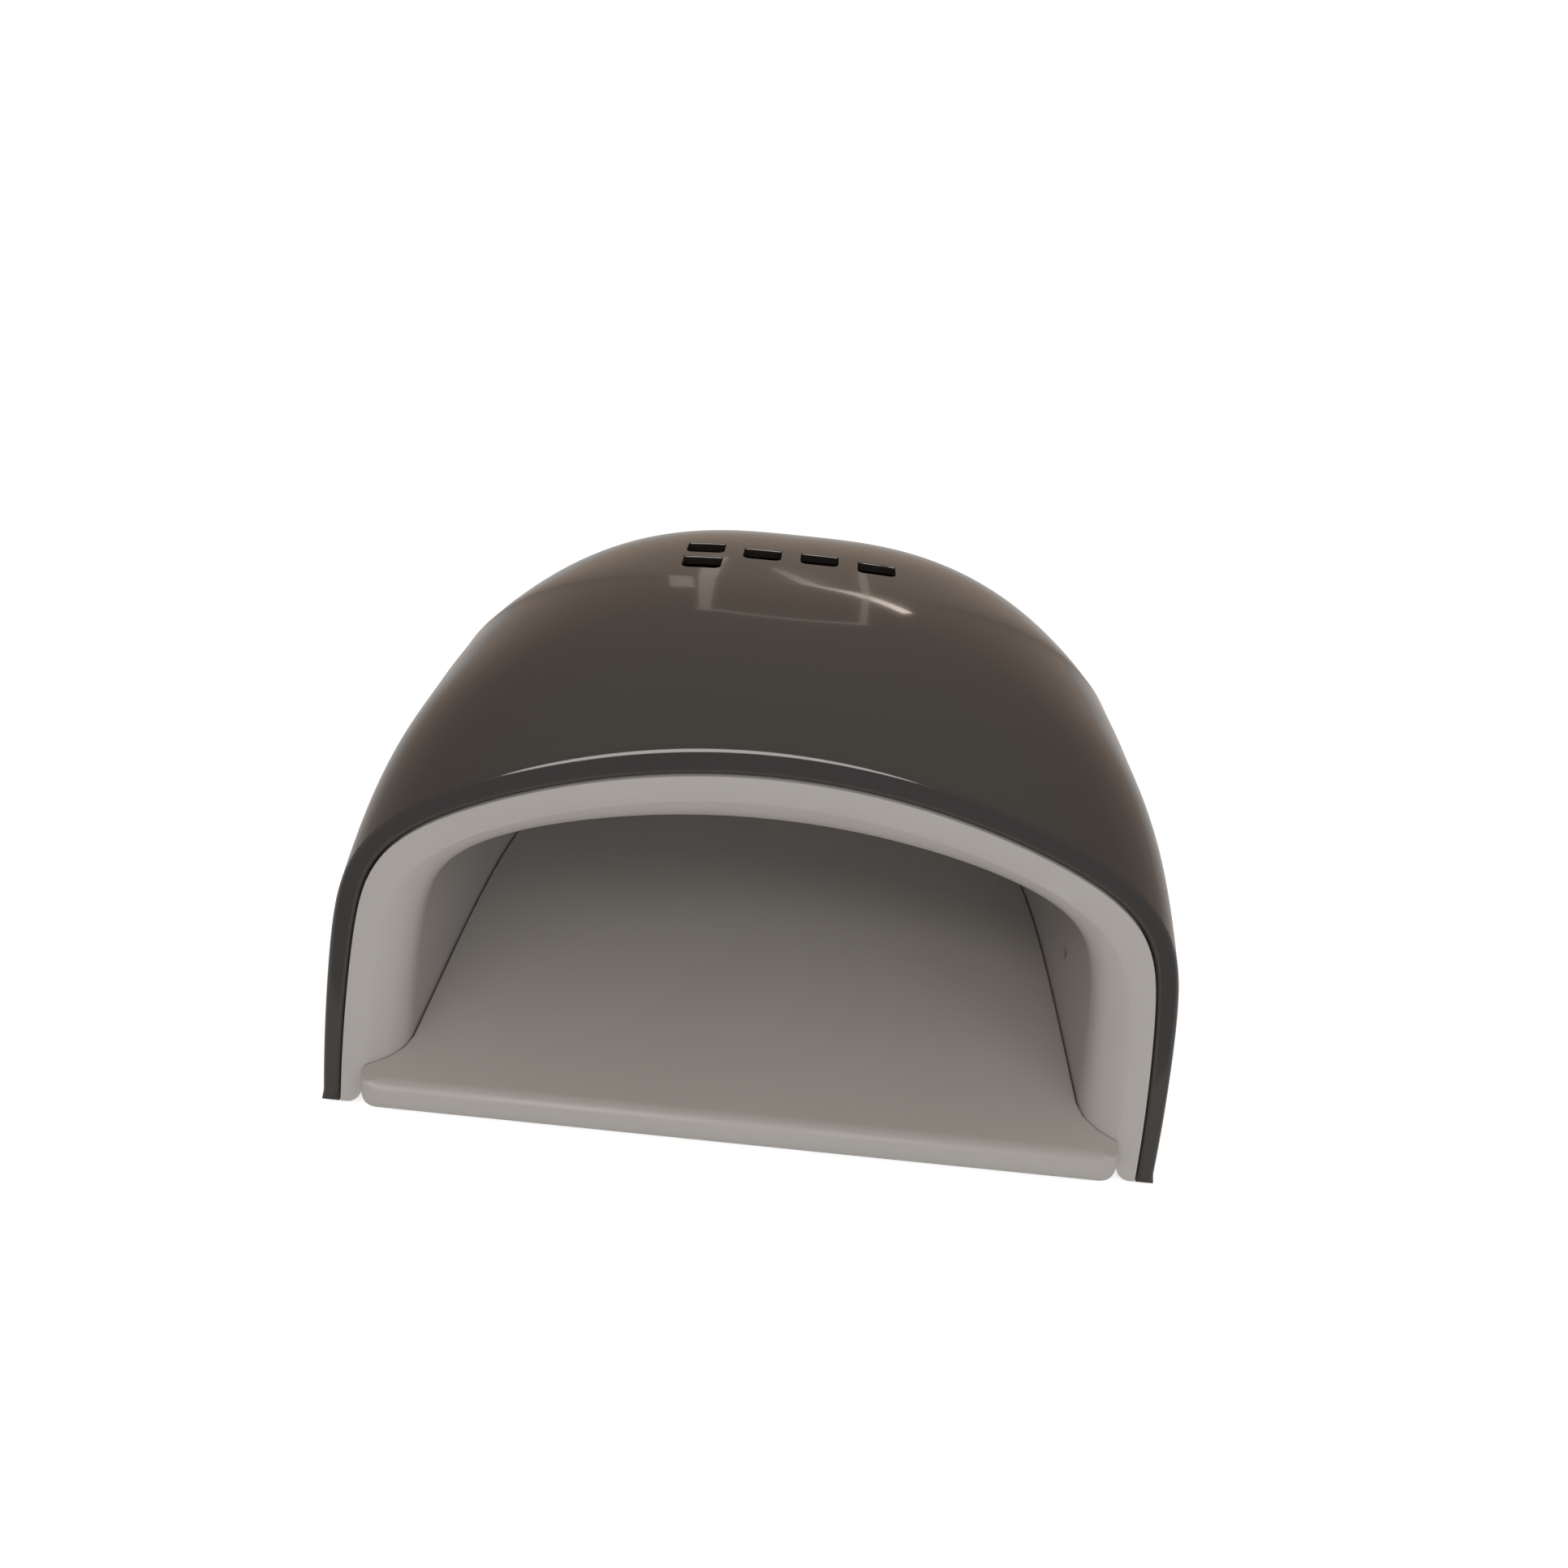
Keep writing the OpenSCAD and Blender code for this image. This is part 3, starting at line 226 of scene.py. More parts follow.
# Dome: one glossy taupe moulding with a 2.5 mm wall. Its arches grow squarer
# towards the leaning hand opening. It has five vent slots, a flat pad behind
# for the controls, a hole for the power inlet, and bosses for its screws inside.
dome_wide, dome_deep, dome_high, dome_wall = 0.224, 0.200, 0.109, 0.0025
widest_y, apex_y = 0.090, 0.109
side_fade, crown_fade, back_power = 0.480, 0.135, 3.0
lean = math.tan(math.radians(24.2))
front_arch, back_arch, arch_fade = 10.2, 2.93, 1.93
arch_swells = ((0.303, 0.130, 0.277), (0.102, -0.297, 0.250))
dome_draw, dome_drop = 0.0453, 0.305
draw_in, lip_drop, lip_arch = 0.052, 0.274, 12.0
lip_side, lip_crown, lip_deep = 0.0047, 0.0059, 0.004
foot, nose_out = 0.001, 0.0035


def shift(x, y, z):
    """A move, as a matrix."""
    return Matrix.Translation((x, y, z))


to_place = shift(0, (nose_out - dome_deep) / 2, foot)

# from here on, e is a depth under the outside, and turn runs along an arch from 0 to pi


def bow(u, p):
    """A curve that falls from 1 in the middle to 0 at 1, rounder the higher its power."""
    return max(0.0, 1 - min(1.0, abs(u)) ** p) ** (1 / p)


def arch_point(turn, p, side, low):
    """A place on an arch of width and height 1, drawn in at its top and lowered at its sides."""
    c, s = math.cos(turn), math.sin(turn)
    rho = (abs(c) ** p + abs(s) ** p) ** (1 / p)
    u, v = c / rho, s / rho
    return u * (1 - side * v * v), v * (1 - low * u * u)


def dome_half(y, e):
    if y < widest_y:
        return (dome_wide / 2 - e) * bow((widest_y - y) / side_fade, 2)
    return (dome_wide / 2 - e) * bow((y - widest_y) / (dome_deep - e - widest_y), 2)


def dome_crown(y, e):
    if y < apex_y:
        return (dome_high - e) * bow((apex_y - y) / crown_fade, 2)
    return (dome_high - e) * bow((y - apex_y) / (dome_deep - e - apex_y), back_power)


def crown_on(y0, k, e):
    """The height at which a plane that leans by k from y0 meets the crown."""
    low, high = 0.0, 2 * dome_high
    for _ in range(40):
        middle = (low + high) / 2
        if dome_crown(y0 + k * middle, e) > middle:
            low = middle
        else:
            high = middle
    return low


def plain_point(depth, k, half, crown, p, low, turn):
    u, v = arch_point(turn, p, draw_in, low)
    return Vector((half * u, depth + k * crown * v, crown * v))


def dome_row(y0, e):
    ahead = 1 - y0 / apex_y
    f = max(0.0, ahead)
    k, p = lean * f, back_arch + (front_arch - back_arch) * f ** arch_fade
    p += sum(height * math.exp(-(((ahead - centre) / spread) ** 2)) for height, centre, spread in arch_swells)
    crown = crown_on(y0, k, e)

    def point(turn):
        u, v = arch_point(turn, p, dome_draw * f, dome_drop * f)
        y = y0 + k * crown * v
        return Vector((dome_half(y, e) * u, y, crown * v))

    return point


lip_half = dome_half(0, 0) - lip_side
lip_high = crown_on(0, lean, 0) - lip_crown


def lip_row(depth):
    return lambda turn: plain_point(depth, lean, lip_half, lip_high, lip_arch, lip_drop, turn)


def back_depths(start, end, count, power):
    """Depths from the end to the start, closest together at the end."""
    shares = [math.sin(math.pi / 2 * (1 - i / count)) ** (2 / power) for i in range(count + 1)]
    return [start + (end - start) * share for share in shares]


def skin(rows, columns, along, merge):
    """A grid whose rows are functions of the place along them, and the faces that close it."""
    bm = bmesh.new()
    bmesh.ops.create_grid(bm, x_segments=columns, y_segments=len(rows) - 1, size=1)
    for vert in bm.verts:
        row = round((vert.co.y + 1) / 2 * (len(rows) - 1))
        vert.co = rows[row](along((vert.co.x + 1) / 2))
    bmesh.ops.remove_doubles(bm, verts=bm.verts, dist=merge)
    rim = [edge for edge in bm.edges if edge.is_boundary]
    return bm, bmesh.ops.holes_fill(bm, edges=rim, sides=0)["faces"]


def hood(rows, columns):
    """A skin of arches, from the outer back tip round the front and in again, closed below."""
    bm, sole = skin(rows, columns, lambda share: math.pi * share, 1e-6)
    bmesh.ops.triangulate(bm, faces=sole)
    bmesh.ops.recalc_face_normals(bm, faces=bm.faces)
    return bm


def joined(parts):
    """Puts several meshes into one."""
    whole = bmesh.new()
    held = bpy.data.meshes.new("joining")
    for part in parts:
        part.to_mesh(held)
        part.free()
        whole.from_mesh(held)
    bpy.data.meshes.remove(held)
    return whole


def carve(bm, tool, operation="DIFFERENCE"):
    """Takes a tool's shape out of a mesh, or joins it on."""
    held = []
    for mesh in (bm, tool):
        data = bpy.data.meshes.new("carving")
        mesh.to_mesh(data)
        mesh.free()
        held.append(bpy.data.objects.new("carving", data))
        bpy.context.scene.collection.objects.link(held[-1])
    step = held[0].modifiers.new("step", "BOOLEAN")
    step.operation, step.solver, step.object = operation, "MANIFOLD", held[1]
    result = bmesh.new()
    result.from_object(held[0], bpy.context.evaluated_depsgraph_get())
    for block in held:
        data = block.data
        bpy.data.objects.remove(block)
        bpy.data.meshes.remove(data)
    return result


def bevel(bm, edges, width, steps):
    """Rounds some edges of a mesh."""
    bmesh.ops.bevel(
        bm, geom=edges, offset=width, segments=steps, profile=0.5, affect="EDGES", material=-1
    )


def sharp_edges(bm, least):
    """The edges whose two faces turn by more than so many degrees."""
    inner = [edge for edge in bm.edges if len(edge.link_faces) == 2]
    return [edge for edge in inner if edge.calc_face_angle(0) > math.radians(least)]


def plate(wide, long, low, high, corner, steps=10):
    """A plate between two heights with round corners in its plan."""
    bm = bmesh.new()
    size = Matrix.Diagonal((wide, long, high - low, 1))
    bmesh.ops.create_cube(bm, size=1, matrix=shift(0, 0, (low + high) / 2) @ size)
    if corner:
        half = (high - low) / 2
        uprights = [edge for edge in bm.edges if abs(edge.verts[0].co.z - edge.verts[1].co.z) > half]
        bevel(bm, uprights, corner, steps)
    return bm


def rod(radius, low, high, x=0.0, y=0.0, sides=32):
    """A round bar along z between two heights."""
    bm = bmesh.new()
    bmesh.ops.create_cone(
        bm, cap_ends=True, segments=sides, radius1=radius, radius2=radius, depth=high - low,
        matrix=shift(x, y, (low + high) / 2),
    )
    return bm


def moved(bm, matrix):
    """Transforms a mesh, and turns it right side out again if the matrix mirrors it."""
    bm.transform(matrix)
    if matrix.determinant() < 0:
        bmesh.ops.reverse_faces(bm, faces=bm.faces)
    return bm


def show(bm, name, paint, body="lamp", crease=35):
    """Makes a finished mesh a piece of the lamp that rides on a body."""
    for face in bm.faces:
        face.smooth = True
    piece = set_out(bm, name, paint)
    piece.data.set_sharp_from_angle(angle=math.radians(crease))
    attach(piece, body)
    return piece


# Fine grain of moulded plastic: a slow mottle for colour and gloss, and pebbles
# for the bump. Every plastic of the lamp uses it.
mottle_scale, mottle_detail, mottle_low, mottle_high, pebble_detail = 34, 4, 0.3, 0.7, 2
coat_rough, gloss_swing, grain_deep = 0.03, 0.15, 0.0002
grain = bpy.data.node_groups.new("moulded_grain", "ShaderNodeTree")
grain.interface.new_socket("Scale", in_out="INPUT", socket_type="NodeSocketFloat")
grain.interface.new_socket("Mottle", in_out="OUTPUT", socket_type="NodeSocketFloat")
grain.interface.new_socket("Height", in_out="OUTPUT", socket_type="NodeSocketFloat")
nodes, links = grain.nodes, grain.links
grain_in, grain_out = nodes.new("NodeGroupInput"), nodes.new("NodeGroupOutput")
grain_place = add(nodes, "TexCoord")
mottle = add(nodes, "TexNoise", {"Scale": mottle_scale, "Detail": mottle_detail})
pebble = add(nodes, "TexNoise", {"Detail": pebble_detail})
wire(
    links,
    (grain_place, "Object", mottle, "Vector"),
    (grain_place, "Object", pebble, "Vector"),
    (grain_in, "Scale", pebble, "Scale"),
    (mottle, "Fac", grain_out, "Mottle"),
    (pebble, "Fac", grain_out, "Height"),
)


def finish(name, colour, rough, scale, bump, spread=0.05, coat=0.0, metal=0.0, clear=0.0):
    """A material whose colour and gloss wander with the mottle and whose grain stands as a bump."""
    paint, nodes, links = bare_paint(name)
    bsdf = nodes["Principled BSDF"]
    fill(bsdf, {"Coat Weight": coat, "Coat Roughness": coat_rough})
    fill(bsdf, {"Metallic": metal, "Transmission Weight": clear})
    group = add(nodes, "Group")
    group.node_tree = grain
    fill(group, {"Scale": scale})
    dark, light = [c * (1 - spread) for c in colour], [min(1, c * (1 + spread)) for c in colour]
    tint = colour_mix(nodes, {6: dark + [1], 7: light + [1]})
    gloss = add(nodes, "MapRange", {"From Min": mottle_low, "From Max": mottle_high})
    fill(gloss, {"To Min": rough * (1 - gloss_swing), "To Max": rough * (1 + gloss_swing)})
    relief = add(nodes, "Bump", {"Strength": bump, "Distance": grain_deep})
    wire(
        links,
        (group, "Mottle", tint, 0),
        (tint, 2, bsdf, "Base Color"),
        (group, "Mottle", gloss, "Value"),
        (gloss, 0, bsdf, "Roughness"),
        (group, "Height", relief, "Height"),
        (relief, 0, bsdf, "Normal"),
    )
    return paint


inside_lip, lip_bead, lip_edge, edge_low, edge_back = lip_deep + 0.0004, 0.0015, 40, 0.0004, 0.0005
outer_back, outer_front, inner_front, inner_back, arch_columns = 56, 50, 30, 36, 150
outer_rows = [dome_row(y0, 0) for y0 in back_depths(apex_y, dome_deep, outer_back, back_power)]
outer_rows += [dome_row(apex_y * (1 - i / outer_front), 0) for i in range(1, outer_front - 1)]
outer_rows += [dome_row(y0, 0) for y0 in (0.0032, 0.0016, 0.0)]
inner_rows = [lip_row(0.0), lip_row(lip_deep / 2), lip_row(lip_deep)]
for i in range(inner_front + 1):
    inner_rows.append(dome_row(inside_lip + (apex_y - inside_lip) * i / inner_front, dome_wall))
inner_depths = back_depths(apex_y, dome_deep - dome_wall, inner_back, back_power)
inner_rows += [dome_row(y0, dome_wall) for y0 in inner_depths[-2::-1]]
dome_mesh = hood(outer_rows + inner_rows, arch_columns)
edge_line = []
for edge in sharp_edges(dome_mesh, lip_edge):
    a, b = (vert.co for vert in edge.verts)
    if min(a.z, b.z) > edge_low and a.y - lean * a.z < edge_back:
        edge_line.append(edge)
bevel(dome_mesh, edge_line, lip_bead, 6)
dome_mesh.transform(to_place)
dome_skin = BVHTree.FromBMesh(dome_mesh)

# the flat pad for the controls, its frame of place, and the screw bosses; joined
# shapes bite into each other, and tools that cut go a little beyond
bite, beyond = 0.0005, 0.001
panel_y, panel_sink = dome_deep - 0.026, 0.001
panel_wide, panel_long, panel_corner, panel_thick, panel_gap = 0.054, 0.030, 0.011, 0.0025, 0.0002
pad_border, pad_thick, panel_ledge = 0.0025, 0.005, 0.003
pad_long = panel_long + 2 * pad_border
chord = 0.38 * pad_long
chord_up, chord_down = dome_crown(panel_y - chord, 0), dome_crown(panel_y + chord, 0)
panel_tilt = math.atan2(chord_up - chord_down, 2 * chord)
on_panel = (
    to_place
    @ shift(0, panel_y, (chord_up + chord_down) / 2)
    @ Matrix.Rotation(-panel_tilt, 4, "X")
    @ shift(0, 0, -panel_sink)
)
board_top = -0.0095
post_radius, pilot_radius = 0.0023, 0.001
post_places = [(x * (panel_wide / 2 - 0.00025), y) for x in (-1, 1) for y in (-0.005, 0.005)]
boss_radius, boss_in, boss_high, boss_rib, frame_top = 0.0042, 0.008, 0.019, 0.0024, 0.0027
boss_front, boss_angles = 0.040, (15, 65, 115, 165)


def plan_spots(front, front_e, angles, back_e):
    """Places in the plan: one on each side in front, and some round the back."""
    spots = [(s * dome_half(front, front_e), front) for s in (-1, 1)]
    for angle in angles:
        a = math.radians(angle)
        back = widest_y + (dome_deep - back_e - widest_y) * math.sin(a)
        spots.append(((dome_wide / 2 - back_e) * math.cos(a), back))
    return [Vector(spot) for spot in spots]


boss_places = plan_spots(boss_front, boss_in, boss_angles, boss_in)
boss_walls = plan_spots(boss_front, dome_wall / 2, boss_angles, dome_wall / 2)
pad = plate(panel_wide + 2 * pad_border, pad_long, -pad_thick, bite, panel_corner + pad_border, 14)
pad.transform(on_panel)
bosses = [rod(boss_radius, frame_top, frame_top + boss_high, *spot) for spot in boss_places]
bosses = moved(joined(bosses), to_place)
posts = [rod(post_radius, board_top, bite - pad_thick, *spot) for spot in post_places]
posts = moved(joined(posts), on_panel)
ribs = []
for near, wall in zip(boss_places, boss_walls):
    reach = wall - near
    rib = plate(reach.length, boss_rib, frame_top + bite, frame_top + boss_high - beyond, 0)
    turn = Matrix.Rotation(math.atan2(reach.y, reach.x), 4, "Z")
    ribs.append(moved(rib, Matrix.Translation((near + reach / 2).to_3d()) @ turn))
ribs = moved(joined(ribs), to_place)
for part in (joined([pad, bosses]), joined([posts, ribs])):
    dome_mesh = carve(dome_mesh, part, "UNION")

# five vent slots: front corners round, and a small round lip at the outside
vent_wide, vent_deep, vent_corner, vent_lip = 0.0112, 0.0076, 0.002, 0.0005
vent_places = [(-0.028, 0.1185), (-0.028, 0.130), (-0.0108, 0.1275), (0.0064, 0.1275), (0.0236, 0.1255)]
slot_steps = 6


def slot_path(wide, long, front, rear):
    """Points and outward directions round a slot, with its own corner radius in front and behind."""
    path = []
    quarters = (1, -1, front, -90), (1, 1, rear, 0), (-1, 1, rear, 90), (-1, -1, front, 180)
    for x, y, corner, start in quarters:
        centre = Vector((x * (wide / 2 - corner), y * (long / 2 - corner)))
        for step in range(slot_steps + 1):
            turn = math.radians(start + 90 * step / slot_steps)
            way = Vector((math.cos(turn), math.sin(turn)))
            path.append((centre + way * corner, way))
    whole = []
    for (spot, way), (after, _) in zip(path, path[1:] + path[:1]):
        pieces = slot_steps if (after - spot).length > (wide + long) / 16 else 1
        whole += [(spot.lerp(after, i / pieces), way) for i in range(pieces)]
    return whole


def sleeve(rows, count):
    """A closed tube of rings, each a function of the place round it, filled at both ends."""
    bm = skin(rows, count, lambda share: round(share * count) % count, 1e-7)[0]
    bmesh.ops.recalc_face_normals(bm, faces=bm.faces)
    return bm


vent_path = slot_path(vent_wide, vent_deep, vent_corner, vent_lip)
vent_tool_low, vent_tool_high = -0.012, 0.005
vent_steps = [(0, vent_tool_low), (0, -vent_lip)]
for degrees in (25, 50, 72):
    swing = math.radians(degrees)
    vent_steps.append((vent_lip * (1 - math.cos(swing)), vent_lip * (math.sin(swing) - 1)))
vent_steps += [(3 * vent_lip, vent_lip), (3 * vent_lip, vent_tool_high)]


def vent_ring(x, y, grow, rise):
    def point(k):
        spot, way = vent_path[k]
        at = Vector((x, y + to_place.translation.y)) + spot + way * grow
        surface = dome_skin.ray_cast((at.x, at.y, 1), (0, 0, -1))[0].z
        return at.to_3d() + Vector((0, 0, surface + rise))

    return point


vents = []
for x, y in vent_places:
    vents.append(sleeve([vent_ring(x, y, *step) for step in vent_steps], len(vent_path)))

# the power inlet's hole and the seat of its flange, on its own frame of place
jack_high, jack_radius, jack_flange, jack_flange_thick, jack_play = 0.020, 0.0055, 0.007, 0.0012, 0.0002
on_jack = (
    to_place
    @ shift(0, dome_deep - jack_flange_thick, jack_high)
    @ Matrix.Rotation(math.pi / 2, 4, "X")
)
jack_hole = moved(rod(jack_radius + jack_play, -0.003, 0.009, sides=48), on_jack)
jack_seat = moved(rod(jack_flange + jack_play, -0.005, 0, sides=48), on_jack)

screw_radius, screw_long, pilot_deep = 0.0015, 0.016, 0.004
screw_ends = frame_top - beyond, frame_top + screw_long - beyond
screw_holes = [rod(screw_radius, *screw_ends, *spot) for spot in boss_places]
pilot_ends = board_top - beyond, board_top + pilot_deep
pilots = [rod(pilot_radius, *pilot_ends, *spot, sides=16) for spot in post_places]
above = moved(plate(dome_wide / 2, 0.4 * dome_deep, 0, pad_long, 0), on_panel)
recess = plate(
    panel_wide + 2 * panel_gap, panel_long + 2 * panel_gap,
    -panel_thick - panel_gap, beyond, panel_corner + panel_gap, 14,
)
opening = plate(
    panel_wide - 2 * panel_ledge, panel_long - 2 * panel_ledge,
    -pad_thick - beyond, -beyond, panel_corner - panel_ledge,
)
for tools in (
    [above],
    [moved(recess, on_panel), moved(joined(screw_holes), to_place), jack_seat] + vents,
    [moved(opening, on_panel), moved(joined(pilots), on_panel), jack_hole],
):
    dome_mesh = carve(dome_mesh, joined(tools))
dome_paint = finish("dome_gloss", (0.029, 0.0245, 0.021), 0.10, 900, 0.02, 0.05, 0.6)
dome = show(dome_mesh, "dome", dome_paint)
pad_way = on_panel.to_3x3() @ Vector((0, 0, 1))
vents_above, vent_crease, flat_share = 0.100, 11, 0.99999


def flatten(piece, way):
    """Gives the faces that look one way a flat gloss, up to their very edges."""
    for face in piece.data.polygons:
        if face.normal.dot(way) > flat_share:
            face.use_smooth = False


flatten(dome, pad_way)
dome_mesh = bmesh.new()
dome_mesh.from_mesh(dome.data)
for edge in sharp_edges(dome_mesh, vent_crease):
    if edge.verts[0].co.z > vents_above:
        edge.smooth = False
dome_mesh.to_mesh(dome.data)
dome_mesh.free()
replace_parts(dome, "outer_shell")

# Liner: the satin light grey reflector that lines the tunnel. It starts as a flat
# rim inside the dome's lip, narrows as a funnel and closes in a round back wall.
# Lamp holes pierce it, and posts behind it carry the lamp boards.
tunnel_half, tunnel_high, tunnel_deep = 0.0903, 0.075, 0.165
funnel_deep, rim_wide, liner_wall, rim_gap = 0.015, 0.0055, 0.0022, 0.00025
tunnel_arch, tunnel_upright, straight_deep = 10.0, 0.110, 0.100
tunnel_taper, tunnel_rise, tunnel_back, tunnel_drop = 0.018, 0.05, 4, 0.20
rim_half, rim_high = lip_half - rim_gap, lip_high - rim_gap


def funnel(depth, p):
    """What is left of the funnel's widening at a depth."""
    return max(0.0, 1 - depth / funnel_deep) ** p


def tunnel_size(depth, e):
    """Half the tunnel's width and its height at a depth."""
    past = max(0.0, depth - funnel_deep)
    end = bow(past / (tunnel_deep + e - funnel_deep), tunnel_back)
    half = (tunnel_half + e - tunnel_taper * past) * end
    high = (tunnel_high + e + tunnel_rise * past) * end
    return (
        half + (rim_half - rim_wide - tunnel_half) * funnel(depth, 3),
        high + (rim_high - rim_wide - tunnel_high) * funnel(depth, 2),
    )


def tunnel_fall(depth):
    return tunnel_drop + (lip_drop - tunnel_drop) * funnel(depth, 2)


def tunnel_row(depth, e):
    half, high = tunnel_size(depth, e)
    k = lean * max(0.0, 1 - depth / tunnel_upright)
    return lambda turn: plain_point(depth, k, half, high, tunnel_arch, tunnel_fall(depth), turn)


def rim_row(depth):
    return lambda turn: plain_point(depth, lean, rim_half, rim_high, lip_arch, lip_drop, turn)


def tunnel_depth(y, h):
    """The depth of the leaning arch that passes through a place at a height."""
    depth = (y - lean * h) / (1 - lean * h / tunnel_upright)
    return depth if depth < tunnel_upright else y


def ceiling_z(x, y):
    depth = tunnel_depth(y, tunnel_high)
    half, high = tunnel_size(depth, 0)
    u = abs(x) / (half * (1 - draw_in))
    return high * (1 - tunnel_fall(depth) * u * u) * bow(u, tunnel_arch)


def wall_x(y, h):
    depth = tunnel_depth(y, h)
    half, high = tunnel_size(depth, 0)
    v = h / (high * (1 - tunnel_fall(depth)))
    return half * (1 - draw_in * v * v) * bow(v, tunnel_arch)


def back_y(x, h):
    s = ((abs(x) / tunnel_half) ** tunnel_arch + (h / tunnel_high) ** tunnel_arch) ** (1 / tunnel_arch)
    return funnel_deep + (tunnel_deep - funnel_deep) * bow(s, tunnel_back)


skin_back, funnel_steps, tunnel_end = 30, 24, 40
skin_depths = back_depths(straight_deep, tunnel_deep + liner_wall, skin_back, tunnel_back)
skin_depths += [d / 1000 for d in (80, 60, 40, 25, 15, 10, 7, 5, 3.5)]
skin_rows = [tunnel_row(d, liner_wall) for d in skin_depths] + [rim_row(liner_wall), rim_row(0.0)]
tunnel_depths = [funnel_deep * i / funnel_steps for i in range(funnel_steps + 1)]
for i in range(1, funnel_steps + 1):
    tunnel_depths.append(funnel_deep + (straight_deep - funnel_deep) * i / funnel_steps)
tunnel_depths += back_depths(straight_deep, tunnel_deep, tunnel_end, tunnel_back)[-2::-1]
tunnel_rows = [tunnel_row(d, 0) for d in tunnel_depths]
liner_mesh = moved(hood(skin_rows + tunnel_rows, arch_columns), to_place)

# places of the lamps and of the posts: in the ceiling, on both sides and at the back
lamp_pitch, row_pitch, ceiling_y = 0.019, 0.024, 0.084
ceiling_spots = [(i * lamp_pitch, ceiling_y + j * row_pitch) for i in (-2, -1, 0, 1, 2) for j in (-1, 0, 1)]
ceiling_lift = 0.0016
ceiling_board_z = tunnel_high + tunnel_rise * straight_deep + liner_wall + ceiling_lift
ceiling_posts = [(x * 0.0425, ceiling_y + y * row_pitch / 2) for x in (-1, 1) for y in (-1, 1)]
side_y, side_z, side_turn, board_back = 0.090, 0.034, math.radians(8), 0.0024
side_board_x = wall_x(side_y, side_z) + liner_wall + board_back
side_spots = [(a, 0.002) for a in (-0.020, -0.004, 0.012, 0.028)]
side_posts = [(a, 0.0075) for a in (-0.028, 0.020)]
sensor_spot, sensor_radius = (-0.034, -0.007), 0.0015
rear_z, rear_board_y = 0.034, tunnel_deep + liner_wall + board_back
rear_spots = [(x, 0.0) for x in (-0.028, 0, 0.028)]
rear_posts = [(-0.014, 0.0), (0.014, 0.0)]
on_rear = to_place @ shift(0, rear_board_y, rear_z) @ Matrix.Rotation(-math.pi / 2, 4, "X")


def on_side(s):
    axes = Matrix(((0, 0, s, 0), (1, 0, 0, 0), (0, 1, 0, 0), (0, 0, 0, 1)))
    turn = Matrix.Rotation(s * side_turn, 4, "Z")
    return to_place @ shift(s * side_board_x, side_y, side_z) @ turn @ axes


def side_reach(a, b):
    y, x = side_y + a * math.cos(side_turn), side_board_x - a * math.sin(side_turn)
    return x - wall_x(y, side_z + b)


# every lamp as its frame of place, with z from the board outwards, and its reach to the tunnel
lamps = {"ceiling": [], "left": [], "right": [], "rear": []}
for x, y in ceiling_spots:
    at = to_place @ shift(x, y, ceiling_board_z)
    lamps["ceiling"].append((at, ceiling_board_z - ceiling_z(x, y)))
for group, s in (("left", -1), ("right", 1)):
    for a, b in side_spots:
        lamps[group].append((on_side(s) @ shift(a, b, 0), side_reach(a, b)))
for x, y in rear_spots:
    lamps["rear"].append((on_rear @ shift(x, y, 0), rear_board_y - back_y(x, rear_z)))
lens_radius, lens_gap, lens_proud = 0.0032, 0.0002, 0.0008
hole_past, hole_short, sensor_hole = 0.004, 0.0005, 0.03
holes = []
for at, reach in sum(lamps.values(), []):
    holes.append(moved(rod(lens_radius + lens_gap, -reach - hole_past, -hole_short), at))
holes.append(moved(rod(sensor_radius + lens_gap, -sensor_hole, 0, *sensor_spot), on_side(1)))

post_in = 0.001
liner_posts = []
for x, y in ceiling_posts:
    post = rod(post_radius, ceiling_z(x, y) + post_in, ceiling_board_z, x, y)
    liner_posts.append(moved(post, to_place))
for s in (-1, 1):
    for a, b in side_posts:
        post = rod(post_radius, post_in - side_reach(a, b), 0, a, b)
        liner_posts.append(moved(post, on_side(s)))
for x, y in rear_posts:
    post = rod(post_radius, back_y(x, rear_z) + post_in - rear_board_y, 0, x, y)
    liner_posts.append(moved(post, on_rear))
frame_front, frame_play, rim_foot = 0.0062, 0.0002, 0.004
under = plate(2 * dome_wide, dome_deep, -beyond, frame_top, 0)
under_y = frame_front - frame_play + dome_deep / 2
under = moved(under, to_place @ shift(0, under_y, 0))
foot_tools = []
for s in (-1, 1):
    below = plate(4 * rim_foot, 2 * frame_front, -2 * rim_foot, 0, 0)
    below.transform(shift(-2 * rim_foot, 0, 0))
    round_in = rod(rim_foot, -frame_front - beyond, frame_front + beyond, sides=64)
    below = carve(below, moved(round_in, Matrix.Rotation(math.pi / 2, 4, "X")))
    corner = shift(rim_half - rim_wide + rim_foot, 0, rim_foot)
    foot_tools.append(moved(below, to_place @ Matrix.Diagonal((s, 1, 1, 1)) @ corner))
liner_mesh = carve(liner_mesh, joined(liner_posts), "UNION")
liner_mesh = carve(liner_mesh, joined([under] + holes))
liner_mesh = carve(liner_mesh, joined(foot_tools))
liner_paint = finish("liner_satin", (0.51, 0.474, 0.443), 0.42, 1400, 0.05, 0.03)
liner = show(liner_mesh, "liner", liner_paint, crease=42)
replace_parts(liner, "inner_liner")

# Lamp boards: white boards behind the liner's ceiling, sides and back, screwed on
# the liner's posts. Every lamp is a clear moulded lens over a chip in a silver cup,
# and its round nose stands a little out of its hole in the liner.
trace_scale, trace_wide, pad_scale, pad_size = 110, 0.06, 260, 0.12


def on_node(name, paint):
    """Gives a carried-over solid its material."""
    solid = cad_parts[name].data
    solid.materials.clear()
    solid.materials.append(paint)


